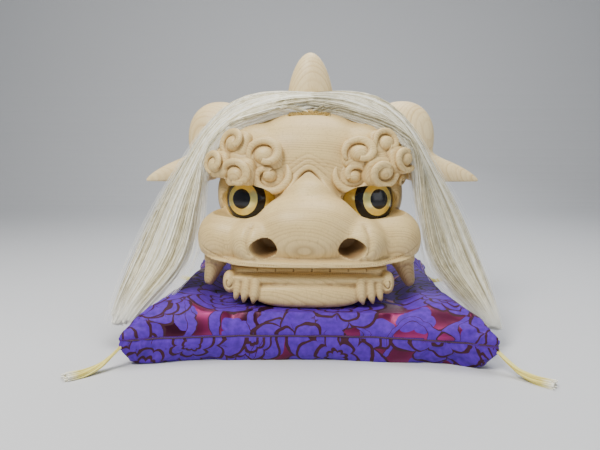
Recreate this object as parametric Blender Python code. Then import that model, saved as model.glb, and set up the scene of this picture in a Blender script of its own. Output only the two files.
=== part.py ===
"""Lion dance head, carved in plain wood, with its horsehair mane, on a square display cushion.

Metres, +Z up, the face looks along -Y. The origin is the centre of the cushion's underside.
The jaw lies on the cushion and the head tips up on two pins behind the ears.
"""
import math

import bmesh
import bpy
import numpy as np
from mathutils import Euler, Matrix, Vector
from mathutils.bvhtree import BVHTree

# The head: half its width over the cheeks, nose tip to rear rim, mouth line to crown.
HEAD_HALF_WIDTH = 0.139
HEAD_DEPTH = 0.314
HEAD_HEIGHT = 0.213
REAR_RIM_Y = 0.142
MOUTH_Z = 0.104
LIP_LIFT = 0.005
LIP_CORNER_RISE = 0.010
REAR_RIM_DROP = 0.004

# The mouth: outline of the teeth, which the jaw and the upper teeth share.
TEETH_HALF_WIDTH = 0.100
TEETH_FRONT_Y = -0.146
TEETH_WALL = 0.009
MOUTH_ROOF_Z = 0.140
MOUTH_RUN_BACK = 0.06
MOUTH_SQUARENESS = 3.2
LIP_CORNER_START = 0.60
REAR_DROP_START = 0.12
REAR_DROP_RUN = 0.08

# The eyes, and the opening that their lids leave.
EYE_RADIUS = 0.036
EYE_X = 0.0725
EYE_Y = -0.071
EYE_Z = 0.181
EYE_TURN = math.radians(25)
EYE_BACK = 0.010
LIDS_OFFSET = (0.010, -0.036, -0.001)
LIDS_RADII = (0.044, 0.034, 0.0215)
LIDS_SQUARENESS = 2.4
LIDS_TURN = 0.7 * EYE_TURN

# The nostrils.
NOSTRIL_X = 0.050
NOSTRIL_Z = 0.1318
NOSTRIL_HALF_WIDTH = 0.0145
NOSTRIL_HALF_HEIGHT = 0.0118
NOSTRIL_DEPTH = 0.056
NOSTRIL_LEAD = 0.035
NOSTRIL_RISE = math.radians(26)
NOSTRIL_TURN = math.radians(14)
NOSTRIL_ROLL = math.radians(-16)

# The brow's coils and ridge, the folds over the nose, and the fangs.
WIDEST_CURL = 0.0228
CURL_FLATNESS = 0.66
CURL_SQUARENESS = 2.3
CURL_LEAN = 0.10
SPIRAL_TURNS = 1.15
SPIRAL_START = 0.78
SPIRAL_END = 0.48
SPIRAL_HALF_WIDTH = 0.17
SPIRAL_DEPTH = 0.22
SPIRAL_INSET = 0.95
WIDEST_RIDGE = 0.0068
DEEPEST_FOLD = 0.0022
FOLD_HALF_WIDTH = 0.0030
FOLD_BEND = 1.3
FOREHEAD_ALONG = 0.865
FOREHEAD_LEAN = 0.45
FOREHEAD_START = 0.50
FOREHEAD_BEND = 1.5
WIDEST_FANG = 0.0155
FANG_CLEARANCE = 0.0015

# The jaw and its pins.
JAW_BOTTOM_Z = 0.0586
JAW_FLOOR = 0.009
FLOOR_ROUND = 0.006
FLOOR_NARROWING = 0.92
JAW_ARM_THICKNESS = 0.011
JAW_ARM_RADIUS = 0.013
JAW_ARM_OUTER_X = 0.104
ARM_ROOT_ALONG = 0.20
ARM_ROOT_UP = 0.50
ARM_ROOT_SWELL = 1.3
ARM_FREE_ALONG = 0.24
ARM_SPACE_ALONG = 0.30
ARM_SPACE_RUN_BACK = 0.08
SIDE_CLEARANCE = 0.0015
PIN_LENGTH = 0.024
PIVOT_Y = 0.112
PIVOT_Z = 0.114
PIN_RADIUS = 0.004
PIN_INSET = 0.002

# The horn, the ears and the mane.
HORN_HEIGHT = 0.078
HORN_HALF_WIDTH = 0.033
HORN_Y = -0.010
HORN_HALF_DEPTH = 0.024
HORN_SINK = 0.016
HORN_LEAN = math.radians(6)
HORN_SQUARENESS = 2.1
EAR_HALF_WIDTH = 0.046
EAR_HEIGHT = 0.104
EAR_THICKNESS = 0.060
EAR_REACH = 0.240
EAR_Y = 0.000
EAR_TOP_Z = 0.314
EAR_SWEEP = 0.02
EAR_SQUARENESS = 2.2
EAR_TIP_FLATNESS = 0.9
SLOT_HALF_WIDTH = 0.027
SLOT_HALF_LENGTH = 0.006
SLOT_DEPTH = 0.012
SLOT_TILT = math.radians(32)
BINDING_RISE = 0.002
SLOT_Y = -0.072
MANE_REACH = 0.234
MANE_THICKNESS = 0.013
MANE_TOP_Z = 0.322
MANE_TIP_Z = 0.034
LOCK_OVERLAP = 0.62
LOCK_LEAST = 0.0012
LOCK_TAPER = 0.55
LOCK_TAPER_BEND = 6

# The cushion and its tassels.
CUSHION_SIDE = 0.400
CUSHION_HEIGHT = 0.066
SEAM_Z = 0.033
SIDE_PULL = 0.025
CUSHION_FULLNESS = 10
UNDERSIDE_RISE = 2.2
CROWN_FULLNESS = 1.15
DENT_WIDTH = 1.45
DENT_LENGTH = 0.80
DENT_FORWARD = 0.02
TASSEL_LENGTH = 0.072
TASSEL_RADIUS = 0.0115
TASSEL_LOBE = 0.10
TASSEL_FLATNESS = 0.62
TASSEL_TURN = math.radians(40)

# Clearances between pieces, the grain of the carved forms and how far they are rubbed down, and
# how far the cutters run past the pieces.
GAP = 0.0003
VOXEL = 0.0030
SOFT_PASSES = 24
EAR_PASSES = 8
CRISP_PASSES = 2
MANE_PASSES = 1
HOLLOW_VOXEL = 1.6 * VOXEL
MANE_VOXEL = 1.15 * VOXEL
BEYOND = 0.3

# Triangles of the freely formed pieces.
HEAD_TRIANGLES = 4600
HOLLOW_TRIANGLES = 320
JAW_TRIANGLES = 1050
EAR_TRIANGLES = 330
MANE_TRIANGLES = 560

WOOD = (0.70, 0.53, 0.34)
PALE_WOOD = (0.78, 0.60, 0.40)
GOLD = (0.83, 0.62, 0.16)
HAIR = (0.78, 0.76, 0.66)
STRAW = (0.62, 0.47, 0.18)
PURPLE = (0.13, 0.08, 0.55)
CREAM = (0.86, 0.80, 0.52)
BRASS = (0.55, 0.42, 0.20)


def clear_scene():
    for obj in list(bpy.data.objects):
        bpy.data.objects.remove(obj, do_unlink=True)


def material(name, colour, roughness, metallic=0.0):
    result = bpy.data.materials.new(name)
    result.use_nodes = True
    shader = result.node_tree.nodes["Principled BSDF"]
    shader.inputs["Base Color"].default_value = (*colour, 1.0)
    shader.inputs["Roughness"].default_value = roughness
    shader.inputs["Metallic"].default_value = metallic
    return result


def new_object(name, mesh):
    obj = bpy.data.objects.new(name, mesh)
    bpy.context.scene.collection.objects.link(obj)
    return obj


def evaluated_mesh(obj):
    """The object's mesh with its modifiers applied."""
    bpy.context.view_layer.update()
    graph = bpy.context.evaluated_depsgraph_get()
    return bpy.data.meshes.new_from_object(obj.evaluated_get(graph), depsgraph=graph)


def baked(obj):
    """Applies an object's modifiers and gives back its plain mesh, without the object."""
    mesh = evaluated_mesh(obj)
    bpy.data.objects.remove(obj, do_unlink=True)
    return mesh


def joined(meshes):
    """One mesh that holds several, each still a body of its own."""
    bm = bmesh.new()
    for mesh in meshes:
        bm.from_mesh(mesh)
    result = bpy.data.meshes.new("joined")
    bm.to_mesh(result)
    bm.free()
    return result


def mass(centre, radii, power=2.0, tilt=(0.0, 0.0, 0.0), detail=4):
    """A rounded lump: an ellipsoid at power 2, nearer to a rounded box as the power grows."""
    bm = bmesh.new()
    bmesh.ops.create_icosphere(bm, subdivisions=detail, radius=1.0)
    mesh = bpy.data.meshes.new("mass")
    bm.to_mesh(mesh)
    bm.free()
    points = vertex_array(mesh, "co")
    points /= (np.abs(points) ** power).sum(axis=1, keepdims=True) ** (1.0 / power)
    mesh.vertices.foreach_set("co", (points * np.array(radii)).ravel())
    mesh.transform(Matrix.Translation(centre) @ Euler(tilt).to_matrix().to_4x4())
    return mesh


def vertex_array(mesh, what):
    """The places or the normals of a mesh's vertices as an array."""
    values = np.empty(len(mesh.vertices) * 3)
    mesh.vertices.foreach_get(what, values)
    return values.reshape(-1, 3)


def ring_loft(rings):
    """A closed body through rings of equally many points, capped at both ends."""
    bm = bmesh.new()
    rows = [[bm.verts.new(point) for point in ring] for ring in rings]
    count = len(rows[0])
    for below, above in zip(rows, rows[1:]):
        for i in range(count):
            j = (i + 1) % count
            bm.faces.new((below[i], below[j], above[j], above[i]))
    bm.faces.new(list(reversed(rows[0])))
    bm.faces.new(rows[-1])
    bmesh.ops.recalc_face_normals(bm, faces=bm.faces)
    mesh = bpy.data.meshes.new("loft")
    bm.to_mesh(mesh)
    bm.free()
    return mesh


def smooth_path(points, steps):
    """Points along a Catmull-Rom curve through the given ones."""
    knots = np.array(points, dtype=float)
    knots = np.vstack([2 * knots[0] - knots[1], knots, 2 * knots[-1] - knots[-2]])
    result = []
    for k in range(1, len(knots) - 2):
        a, b, c, d = knots[k - 1], knots[k], knots[k + 1], knots[k + 2]
        for step in range(steps):
            t = step / steps
            result.append(0.5 * (2 * b + (c - a) * t + (2 * a - 5 * b + 4 * c - d) * t * t
                                 + (3 * b - a - 3 * c + d) * t ** 3))
    result.append(knots[-2])
    return np.array(result)


def tube(points, radii, flatten=1.0, sides=10, steps=4):
    """A round-ended tube along a smooth path; flatten squashes its section along the world's Y."""
    path = smooth_path([(*point, radius) for point, radius in zip(points, radii)], steps)
    rings = []
    for k, row in enumerate(path):
        ahead = Vector(path[min(k + 1, len(path) - 1)][:3] - path[max(k - 1, 0)][:3]).normalized()
        side = ahead.cross(Vector((0, 1, 0))).normalized()
        depth = side.cross(ahead)
        middle, radius = Vector(row[:3]), float(row[3])
        rings.append([middle + radius * (math.cos(a) * side + math.sin(a) * flatten * depth)
                      for a in (2 * math.pi * i / sides for i in range(sides))])
    return ring_loft(rings)


def fused(meshes, voxel, smoothing, triangles=0):
    """Several overlapping bodies made one, with the hollows between them filled by smoothing."""
    obj = new_object("fused", joined(meshes))
    remesh = obj.modifiers.new("Remesh", "REMESH")
    remesh.mode = "VOXEL"
    remesh.voxel_size = voxel
    if smoothing:
        soften = obj.modifiers.new("Smooth", "SMOOTH")
        soften.factor = 0.5
        soften.iterations = smoothing
    mesh = baked(obj)
    return thinned(mesh, triangles) if triangles else mesh


def thinned(mesh, triangles):
    """The same form in fewer triangles."""
    obj = new_object("thinned", mesh)
    split = obj.modifiers.new("Triangulate", "TRIANGULATE")
    split.quad_method = "SHORTEST_DIAGONAL"
    mesh = baked(obj)
    obj = new_object("thinned", mesh)
    decimate = obj.modifiers.new("Decimate", "DECIMATE")
    decimate.ratio = min(1.0, triangles / len(mesh.polygons))
    decimate.use_collapse_triangulate = True
    return baked(obj)


def grown(mesh, amount):
    """The form with its surface moved outwards, as a cutter that leaves a gap."""
    obj = new_object("grown", mesh.copy())
    displace = obj.modifiers.new("Displace", "DISPLACE")
    displace.strength = amount
    displace.mid_level = 0.0
    return baked(obj)


def cut(mesh, cutters):
    """The mesh less each cutter in turn."""
    obj = new_object("cut", mesh)
    tools = []
    for cutter in cutters:
        tool = new_object("cutter", cutter)
        tool.hide_render = True
        tool.display_type = "WIRE"
        tools.append(tool)
        boolean = obj.modifiers.new("Boolean", "BOOLEAN")
        boolean.operation = "DIFFERENCE"
        boolean.solver = "EXACT"
        boolean.object = tool
    result = baked(obj)
    for tool in tools:
        bpy.data.objects.remove(tool, do_unlink=True)
    return result


def mirrored(mesh):
    """The same form on the other side of the head."""
    bm = bmesh.new()
    bm.from_mesh(mesh)
    bmesh.ops.scale(bm, vec=(-1, 1, 1), verts=bm.verts)
    bmesh.ops.reverse_faces(bm, faces=bm.faces)
    result = bpy.data.meshes.new("mirrored")
    bm.to_mesh(result)
    bm.free()
    return result


def turned(mesh):
    """The same form on the opposite corner, half a turn about the upright axis."""
    result = mesh.copy()
    result.transform(Matrix.Rotation(math.pi, 4, "Z"))
    return result


def box(low, high):
    centre = [(a + b) / 2 for a, b in zip(low, high)]
    size = [b - a for a, b in zip(low, high)]
    bm = bmesh.new()
    bmesh.ops.create_cube(bm, size=1.0, matrix=Matrix.Translation(centre) @ Matrix.Diagonal((*size, 1.0)))
    mesh = bpy.data.meshes.new("box")
    bm.to_mesh(mesh)
    bm.free()
    return mesh


def rod(start, end, radius, sides):
    """A straight round bar between two points."""
    start, end = Vector(start), Vector(end)
    turn = (end - start).to_track_quat("Z", "Y").to_matrix().to_4x4()
    bm = bmesh.new()
    bmesh.ops.create_cone(bm, cap_ends=True, segments=sides, radius1=radius, radius2=radius,
                          depth=(end - start).length, matrix=Matrix.Translation((start + end) / 2) @ turn)
    mesh = bpy.data.meshes.new("rod")
    bm.to_mesh(mesh)
    bm.free()
    return mesh


def carved(mesh, grooves):
    """Presses grooves into a surface; each has a path, a half width and a depth, fading at its ends."""
    points = vertex_array(mesh, "co")
    normals = vertex_array(mesh, "normal")
    push = np.zeros(len(points))
    for path, half_width, depth in grooves:
        low = path.min(axis=0) - 3 * half_width
        high = path.max(axis=0) + 3 * half_width
        near = np.nonzero(np.all((points > low) & (points < high), axis=1))[0]
        if not len(near):
            continue
        away = np.linalg.norm(points[near, None, :] - path[None, :, :], axis=2)
        closest = away.argmin(axis=1)
        along = closest / (len(path) - 1)
        fade = np.clip(np.sin(math.pi * along) * 2.5, 0.0, 1.0)
        push[near] = np.maximum(push[near], depth * fade * np.exp(-(away.min(axis=1) / half_width) ** 2))
    mesh.vertices.foreach_set("co", (points - normals * push[:, None]).ravel())
    mesh.update()
    return mesh


def head_place(across, along, up):
    """A point of the head from shares of its half width, its depth from the rear rim, and its height."""
    return Vector((across * HEAD_HALF_WIDTH, REAR_RIM_Y - along * HEAD_DEPTH, MOUTH_Z + up * HEAD_HEIGHT))


def head_masses(rows, detail):
    """Lumps from table rows, mirrored where they lie off the middle plane."""
    meshes = []
    for name, across, along, up, wide, deep, tall, power, tip in rows:
        radii = (wide * HEAD_HALF_WIDTH, deep * HEAD_DEPTH, tall * HEAD_HEIGHT)
        lump = mass(head_place(across, along, up), radii, power, (math.radians(tip), 0, 0), detail)
        meshes.append(lump)
        if across:
            meshes.append(mirrored(lump))
    return meshes


# Shares of the head's sizes: where each main form lies and how far it swells, how square it is
# (2 is an ellipsoid) and how far it leans forward in degrees.
MAIN_FORMS = [
    # name, across, along, up, wide, deep, tall, power, tip
    ("skull", 0.00, 0.31, 0.30, 0.90, 0.500, 0.715, 2.8, 0),
    ("forehead", 0.00, 0.62, 0.56, 0.66, 0.200, 0.33, 2.3, 0),
    ("temple", 0.50, 0.56, 0.60, 0.34, 0.24, 0.27, 2.3, 0),
    ("bridge", 0.00, 0.79, 0.32, 0.28, 0.130, 0.20, 2.0, 35),
    ("snout", 0.00, 0.84, 0.21, 0.49, 0.170, 0.205, 2.2, 0),
    ("muzzle", 0.00, 0.72, 0.08, 0.84, 0.240, 0.17, 2.6, 0),
    ("cheek", 0.70, 0.745, 0.145, 0.32, 0.170, 0.180, 2.2, 0),
    ("nostril wing", 0.45, 0.885, 0.145, 0.23, 0.108, 0.140, 2.0, 0),
]

# The parts with crisp edges, laid over the softened main forms.
FINE_FORMS = [
    ("cheek lip", 0.66, 0.745, 0.035, 0.345, 0.176, 0.045, 2.4, 0),
    ("middle lip", 0.00, 0.780, 0.035, 0.78, 0.215, 0.040, 3.0, 0),
]

# Brow curls: the place of each coil's middle, its radius as a share of the widest, how far its
# face turns outwards, and where its rim starts, in turns.
BROW_CURLS = [
    # name, across, along, up, radius, turn, start
    ("inner upper", 0.407, 0.805, 0.630, 1.00, 0.25, 0.10),
    ("inner lower", 0.335, 0.822, 0.505, 0.90, 0.10, 0.60),
    ("middle lower", 0.622, 0.785, 0.530, 0.86, 0.55, 0.90),
    ("middle upper", 0.670, 0.740, 0.688, 0.74, 0.75, 0.30),
    ("outer", 0.850, 0.700, 0.575, 0.74, 1.05, 0.05),
    ("tail", 0.880, 0.650, 0.685, 0.52, 1.25, 0.50),
]

# The ridge that runs from the inner lower coil up beside the bridge of the nose.
BROW_RIDGE = [
    # across, along, up, radius as a share of the widest
    (0.290, 0.830, 0.430, 0.75),
    (0.195, 0.828, 0.470, 1.00),
    (0.165, 0.828, 0.530, 0.90),
    (0.185, 0.822, 0.595, 0.65),
    (0.235, 0.815, 0.650, 0.35),
]

# Folds over the bridge of the nose: height of the middle, how far they spread and how far their
# ends fall, as shares of the head's height and half width, and the depth as a share of the deepest.
FOREHEAD_FOLDS = [
    # up, spread, fall, depth
    (0.545, 0.21, 0.075, 1.00),
    (0.600, 0.24, 0.080, 0.60),
    (0.655, 0.26, 0.075, 0.40),
]

# The fangs: from the cheek's underside to the tip.
FANG_FORM = [
    # across, along, up, radius as a share of the widest
    (0.840, 0.755, 0.110, 1.00),
    (0.865, 0.760, 0.000, 0.86),
    (0.900, 0.768, -0.075, 0.62),
    (0.925, 0.776, -0.125, 0.40),
    (0.935, 0.779, -0.140, 0.20),
]

# Hollows of the head, in the same shares.
HOLLOW_FORMS = [
    # name, across, along, up, wide, deep, tall, power, tip
    ("crown hollow", 0.00, 0.134, 0.30, 0.80, 0.500, 0.630, 3.2, 0),
]


def curl_frame(row):
    """A coil's middle, radius, and the axes of its face: outwards, sideways and upwards."""
    name, across, along, up, share, turn, start = row
    outwards = Vector((math.sin(turn), -math.cos(turn), CURL_LEAN)).normalized()
    sideways = Vector((0, 0, 1)).cross(outwards).normalized()
    centre = head_place(across, along, up)
    return centre, share * WIDEST_CURL, outwards, sideways, outwards.cross(sideways), start


def curl_mass(row, detail):
    centre, radius, outwards, sideways, upwards, start = curl_frame(row)
    lump = mass((0, 0, 0), (radius, radius, radius * CURL_FLATNESS), CURL_SQUARENESS, detail=detail)
    frame = Matrix((sideways, upwards, outwards)).transposed().to_4x4()
    lump.transform(Matrix.Translation(centre) @ frame)
    return lump


def curl_groove(row):
    """The spiral cut of a coil, from its rim towards its boss."""
    centre, radius, outwards, sideways, upwards, start = curl_frame(row)
    path = []
    for k in range(48):
        share = k / 47
        angle = 2 * math.pi * (start + SPIRAL_TURNS * share)
        reach = SPIRAL_START + (SPIRAL_END - SPIRAL_START) * share
        lift = SPIRAL_INSET * CURL_FLATNESS * math.sqrt(max(0.0, 1 - reach ** 2))
        flat = math.cos(angle) * sideways + math.sin(angle) * upwards
        path.append(centre + radius * (reach * flat + lift * outwards))
    path = np.array([tuple(point) for point in path])
    return path, radius * SPIRAL_HALF_WIDTH, radius * SPIRAL_DEPTH


def fold_path(up, spread, fall):
    """An arched fold on the forehead."""
    path = []
    for k in range(25):
        share = 2 * k / 24 - 1
        place = head_place(share * spread, 0.0, up - fall * abs(share) ** FOLD_BEND)
        path.append((place.x, forehead_y(place.z), place.z))
    return np.array(path)


def forehead_y(z):
    """How far forward the forehead and the nose bridge reach at a height, near the middle."""
    share = (z - MOUTH_Z) / HEAD_HEIGHT
    back = FOREHEAD_LEAN * max(0.0, share - FOREHEAD_START) ** FOREHEAD_BEND
    return REAR_RIM_Y - HEAD_DEPTH * (FOREHEAD_ALONG - back)


def mirrored_path(path):
    return path * np.array([-1.0, 1.0, 1.0])


def table_tube(rows, widest, extra=0.0, sides=16):
    """A tube of the head along table rows of a place and a share of the widest radius."""
    points = [head_place(across, along, up) for across, along, up, share in rows]
    return tube(points, [share * widest + extra for across, along, up, share in rows], sides=sides)


def head_outer():
    """The whole outside of the head, before it is hollowed."""
    soft = fused(head_masses(MAIN_FORMS, 4), VOXEL, SOFT_PASSES)
    fine = head_masses(FINE_FORMS, 4)
    for row in BROW_CURLS:
        lump = curl_mass(row, 4)
        fine += [lump, mirrored(lump)]
    for lump in (table_tube(BROW_RIDGE, WIDEST_RIDGE), table_tube(FANG_FORM, WIDEST_FANG)):
        fine += [lump, mirrored(lump)]
    mesh = fused([soft] + fine, VOXEL, CRISP_PASSES)
    grooves = []
    for row in BROW_CURLS:
        path, half_width, depth = curl_groove(row)
        grooves += [(path, half_width, depth), (mirrored_path(path), half_width, depth)]
    for up, spread, fall, share in FOREHEAD_FOLDS:
        grooves.append((fold_path(up, spread, fall), FOLD_HALF_WIDTH, share * DEEPEST_FOLD))
    return thinned(carved(mesh, grooves), HEAD_TRIANGLES)


def mouth_outline(half_width, front_y, count=36, power=MOUTH_SQUARENESS):
    """The plan of the mouth: a rounded U that runs back past the rear rim."""
    back_y = REAR_RIM_Y + MOUTH_RUN_BACK
    middle_y = (front_y + back_y) / 2
    points = []
    for k in range(count):
        angle = 2 * math.pi * k / count
        c, s = math.cos(angle), math.sin(angle)
        points.append((half_width * math.copysign(abs(c) ** (2 / power), c),
                       middle_y + (back_y - middle_y) * math.copysign(abs(s) ** (2 / power), s)))
    return points


def lip_height(x, y):
    """Height of the head's lower edge: lowest in front, up at the cheek corners, down to the rear."""
    side = (abs(x) / HEAD_HALF_WIDTH - LIP_CORNER_START) / (1 - LIP_CORNER_START)
    side = min(1.0, max(0.0, side))
    rear = min(1.0, max(0.0, (y - PIVOT_Y + REAR_DROP_START) / REAR_DROP_RUN))
    front = LIP_LIFT + LIP_CORNER_RISE * side ** 1.5
    return MOUTH_Z + front * (1 - rear) - REAR_RIM_DROP * rear


# Rings of the cut under the head, as multiples of the mouth's plan, and steps of the mouth's roof:
# how far below the roof, and the share of the plan.
LIP_RINGS = (1.004, 1.18, 1.5, 2.0)
ROOF_STEPS = [(0.016, 1.00), (0.006, 0.96), (0.000, 0.86)]


def below_mouth():
    """All that is cut away under the head: level inside the teeth, along the lip outside them.

    The fangs stand clear of the cut.
    """
    inner = mouth_outline(TEETH_HALF_WIDTH, TEETH_FRONT_Y)
    rings = [[(x, y, MOUTH_Z) for x, y in inner]]
    for scale in LIP_RINGS:
        rings.append([(x * scale, y * scale, lip_height(x * scale, y * scale)) for x, y in inner])
    rings.append([(x, y, -BEYOND) for x, y, z in rings[-1]])
    bare = table_tube(FANG_FORM, WIDEST_FANG, FANG_CLEARANCE)
    return cut(ring_loft(rings), [bare, mirrored(bare)])


def mouth_hollow():
    """The space over the tongue, between the upper teeth."""
    outline = mouth_outline(TEETH_HALF_WIDTH - TEETH_WALL, TEETH_FRONT_Y + TEETH_WALL)
    rings = [[(x, y, 0.0) for x, y in outline]]
    for below, share in ROOF_STEPS:
        rings.append([(x * share, y * share, MOUTH_ROOF_Z - below) for x, y in outline])
    return ring_loft(rings)


def eye_mesh(extra=0.0, detail=2):
    """The right eye: a ball cut flat behind, grown by a clearance where it is a cutter."""
    centre = Vector((EYE_X, EYE_Y, EYE_Z))
    axis = Vector((math.sin(EYE_TURN), -math.cos(EYE_TURN), 0.0))
    ball = mass(centre, [EYE_RADIUS + extra] * 3, detail=detail)
    bm = bmesh.new()
    bm.from_mesh(ball)
    plane = centre - axis * (EYE_BACK + extra)
    result = bmesh.ops.bisect_plane(bm, geom=bm.verts[:] + bm.edges[:] + bm.faces[:], plane_co=plane,
                                    plane_no=-axis, clear_outer=True)
    rim = [item for item in result["geom_cut"] if isinstance(item, bmesh.types.BMEdge)]
    bmesh.ops.contextual_create(bm, geom=rim)
    bmesh.ops.recalc_face_normals(bm, faces=bm.faces)
    mesh = bpy.data.meshes.new("eye")
    bm.to_mesh(mesh)
    bm.free()
    return mesh


def eye_opening():
    """The cut between brow and cheek that bares the front of the eye."""
    centre = Vector((EYE_X, EYE_Y, EYE_Z)) + Vector(LIDS_OFFSET)
    return mass(centre, LIDS_RADII, LIDS_SQUARENESS, (0, 0, LIDS_TURN), 3)


def nostril():
    """The oval bore of the right nostril, blind, up and back into the snout over the palate."""
    mesh = rod((0, 0, -NOSTRIL_LEAD), (0, 0, NOSTRIL_DEPTH - NOSTRIL_LEAD), 1.0, 20)
    shape = Matrix.Diagonal((NOSTRIL_HALF_WIDTH, NOSTRIL_HALF_HEIGHT, 1.0, 1.0))
    lean = Matrix.Rotation(NOSTRIL_TURN, 4, "Z") @ Matrix.Rotation(NOSTRIL_RISE - math.pi / 2, 4, "X")
    middle = Vector((NOSTRIL_X, TEETH_FRONT_Y - NOSTRIL_HALF_WIDTH, NOSTRIL_Z))
    mesh.transform(Matrix.Translation(middle) @ Matrix.Rotation(NOSTRIL_ROLL, 4, "Y") @ lean @ shape)
    return mesh


def head_shell(outer, crown):
    hollow = fused(head_masses(HOLLOW_FORMS, 4), HOLLOW_VOXEL, CRISP_PASSES, HOLLOW_TRIANGLES)
    inside = JAW_ARM_OUTER_X + SIDE_CLEARANCE
    arm_space = box((-inside, jaw_place(0, ARM_SPACE_ALONG, 0).y, 0.0),
                    (inside, REAR_RIM_Y + ARM_SPACE_RUN_BACK, PIVOT_Z + 2 * JAW_ARM_RADIUS))
    eye = eye_mesh(GAP)
    opening = eye_opening()
    bore = nostril()
    pin_hole = pin_bore(PIN_RADIUS + GAP)
    cutters = [
        below_mouth(), hollow, arm_space, mouth_hollow(),
        box((-BEYOND, REAR_RIM_Y, 0.0), (BEYOND, REAR_RIM_Y + BEYOND, HEAD_HEIGHT + BEYOND)),
        eye, mirrored(eye), opening, mirrored(opening), bore, mirrored(bore),
        pin_hole, mirrored(pin_hole), slot_box(crown, 0.0, SLOT_DEPTH),
    ]
    return cut(outer, cutters)


def crown_height(outer, x, y):
    """Height of the head's surface above a point of the plan."""
    places = [vert.co for vert in outer.vertices]
    tree = BVHTree.FromPolygons(places, [face.vertices for face in outer.polygons])
    return tree.ray_cast(Vector((x, y, 1.0)), Vector((0, 0, -1)))[0].z


def slot_box(crown, margin, rise):
    """The slot above the brow that the mane is planted in, or the block that fills it."""
    wide = SLOT_HALF_WIDTH - margin
    deep = SLOT_HALF_LENGTH - margin
    mesh = box((-wide, -deep, margin - SLOT_DEPTH), (wide, deep, rise))
    mesh.transform(Matrix.Translation((0, SLOT_Y, crown)) @ Matrix.Rotation(SLOT_TILT, 4, "X"))
    return mesh


def jaw_place(across, along, up):
    """A point of the jaw from shares of the teeth's half width, the jaw's length and its height."""
    return Vector((across * TEETH_HALF_WIDTH, PIVOT_Y - along * (PIVOT_Y - TEETH_FRONT_Y),
                   JAW_BOTTOM_Z + up * (MOUTH_Z - JAW_BOTTOM_Z)))


# The jaw's forms, as shares of the teeth's half width, the jaw's length from its pins, and its height.
JAW_FORMS = [
    # name, across, along, up, wide, deep, tall, power, tip
    ("trough", 0.00, 0.560, 0.50, 1.000, 0.440, 0.56, 4.5, 0),
    ("chin roll", 0.00, 0.995, 0.34, 0.680, 0.062, 0.34, 2.8, 0),
    ("teeth", 0.00, 0.560, 0.80, 0.985, 0.436, 0.24, 8.0, 0),
    ("lower lip", 0.00, 0.985, 0.72, 0.930, 0.056, 0.14, 3.2, 0),
    ("side curl", 1.00, 0.945, 0.60, 0.085, 0.048, 0.28, 2.0, 0),
    ("inner lock", 0.74, 0.985, 0.30, 0.070, 0.040, 0.36, 2.0, -8),
    ("outer lock", 0.88, 0.965, 0.34, 0.070, 0.036, 0.34, 2.0, -8),
]


def strap(start, end, radius_start, radius_end, low_x, high_x, steps=8):
    """A flat bar with round ends, standing across the X axis between two points of the side view."""
    run = Vector((end[0] - start[0], end[1] - start[1]))
    heading = math.atan2(run.y, run.x)
    outline = []
    for centre, radius, turn in ((start, radius_start, math.pi / 2), (end, radius_end, -math.pi / 2)):
        for k in range(steps + 1):
            angle = heading + turn + math.pi * k / steps
            outline.append((centre[0] + radius * math.cos(angle), centre[1] + radius * math.sin(angle)))
    return ring_loft([[(x, y, z) for y, z in outline] for x in (low_x, high_x)])


def jaw():
    meshes = []
    for name, across, along, up, wide, deep, tall, power, tip in JAW_FORMS:
        radii = (wide * TEETH_HALF_WIDTH, deep * (PIVOT_Y - TEETH_FRONT_Y), tall * (MOUTH_Z - JAW_BOTTOM_Z))
        lump = mass(jaw_place(across, along, up), radii, power, (math.radians(tip), 0, 0))
        meshes += [lump, mirrored(lump)] if across else [lump]
    root = jaw_place(0, ARM_ROOT_ALONG, ARM_ROOT_UP)
    arm = strap((root.y, root.z), (PIVOT_Y, PIVOT_Z), ARM_ROOT_SWELL * JAW_ARM_RADIUS, JAW_ARM_RADIUS,
                JAW_ARM_OUTER_X - JAW_ARM_THICKNESS, JAW_ARM_OUTER_X)
    meshes += [arm, mirrored(arm)]
    mesh = fused(meshes, VOXEL, CRISP_PASSES, JAW_TRIANGLES)
    outline = mouth_outline(TEETH_HALF_WIDTH - TEETH_WALL, TEETH_FRONT_Y + TEETH_WALL)
    floor = JAW_BOTTOM_Z + JAW_FLOOR
    levels = ((floor, FLOOR_NARROWING), (floor + FLOOR_ROUND, 1.0), (BEYOND, 1.0))
    trough = ring_loft([[(x * share, y, z) for x, y in outline] for z, share in levels])
    arms_start = jaw_place(0, ARM_FREE_ALONG, 0).y
    bore = pin_bore(PIN_RADIUS + GAP)
    return cut(mesh, [
        box((-BEYOND, -BEYOND, 0.0), (BEYOND, BEYOND, JAW_BOTTOM_Z)),
        box((-BEYOND, -BEYOND, MOUTH_Z - GAP), (BEYOND, arms_start, BEYOND)),
        trough, bore, mirrored(bore),
    ])


def pin_bore(radius, sides=12):
    return rod((JAW_ARM_OUTER_X - 2 * JAW_ARM_THICKNESS, PIVOT_Y, PIVOT_Z),
               (2 * HEAD_HALF_WIDTH, PIVOT_Y, PIVOT_Z), radius, sides)


def jaw_pin():
    """The right pin, from inside the jaw's arm to just under the head's side."""
    inner = JAW_ARM_OUTER_X - JAW_ARM_THICKNESS - PIN_INSET
    return rod((inner, PIVOT_Y, PIVOT_Z), (inner + PIN_LENGTH, PIVOT_Y, PIVOT_Z), PIN_RADIUS, 12)


def horn_form(extra=0.0):
    return mass((0, HORN_Y, MOUTH_Z + HEAD_HEIGHT - HORN_SINK),
                (HORN_HALF_WIDTH + extra, HORN_HALF_DEPTH + extra, HORN_HEIGHT + extra),
                HORN_SQUARENESS, (HORN_LEAN, 0, 0), 3)


def horn(outer_grown):
    return cut(horn_form(), [outer_grown.copy()])


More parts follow.
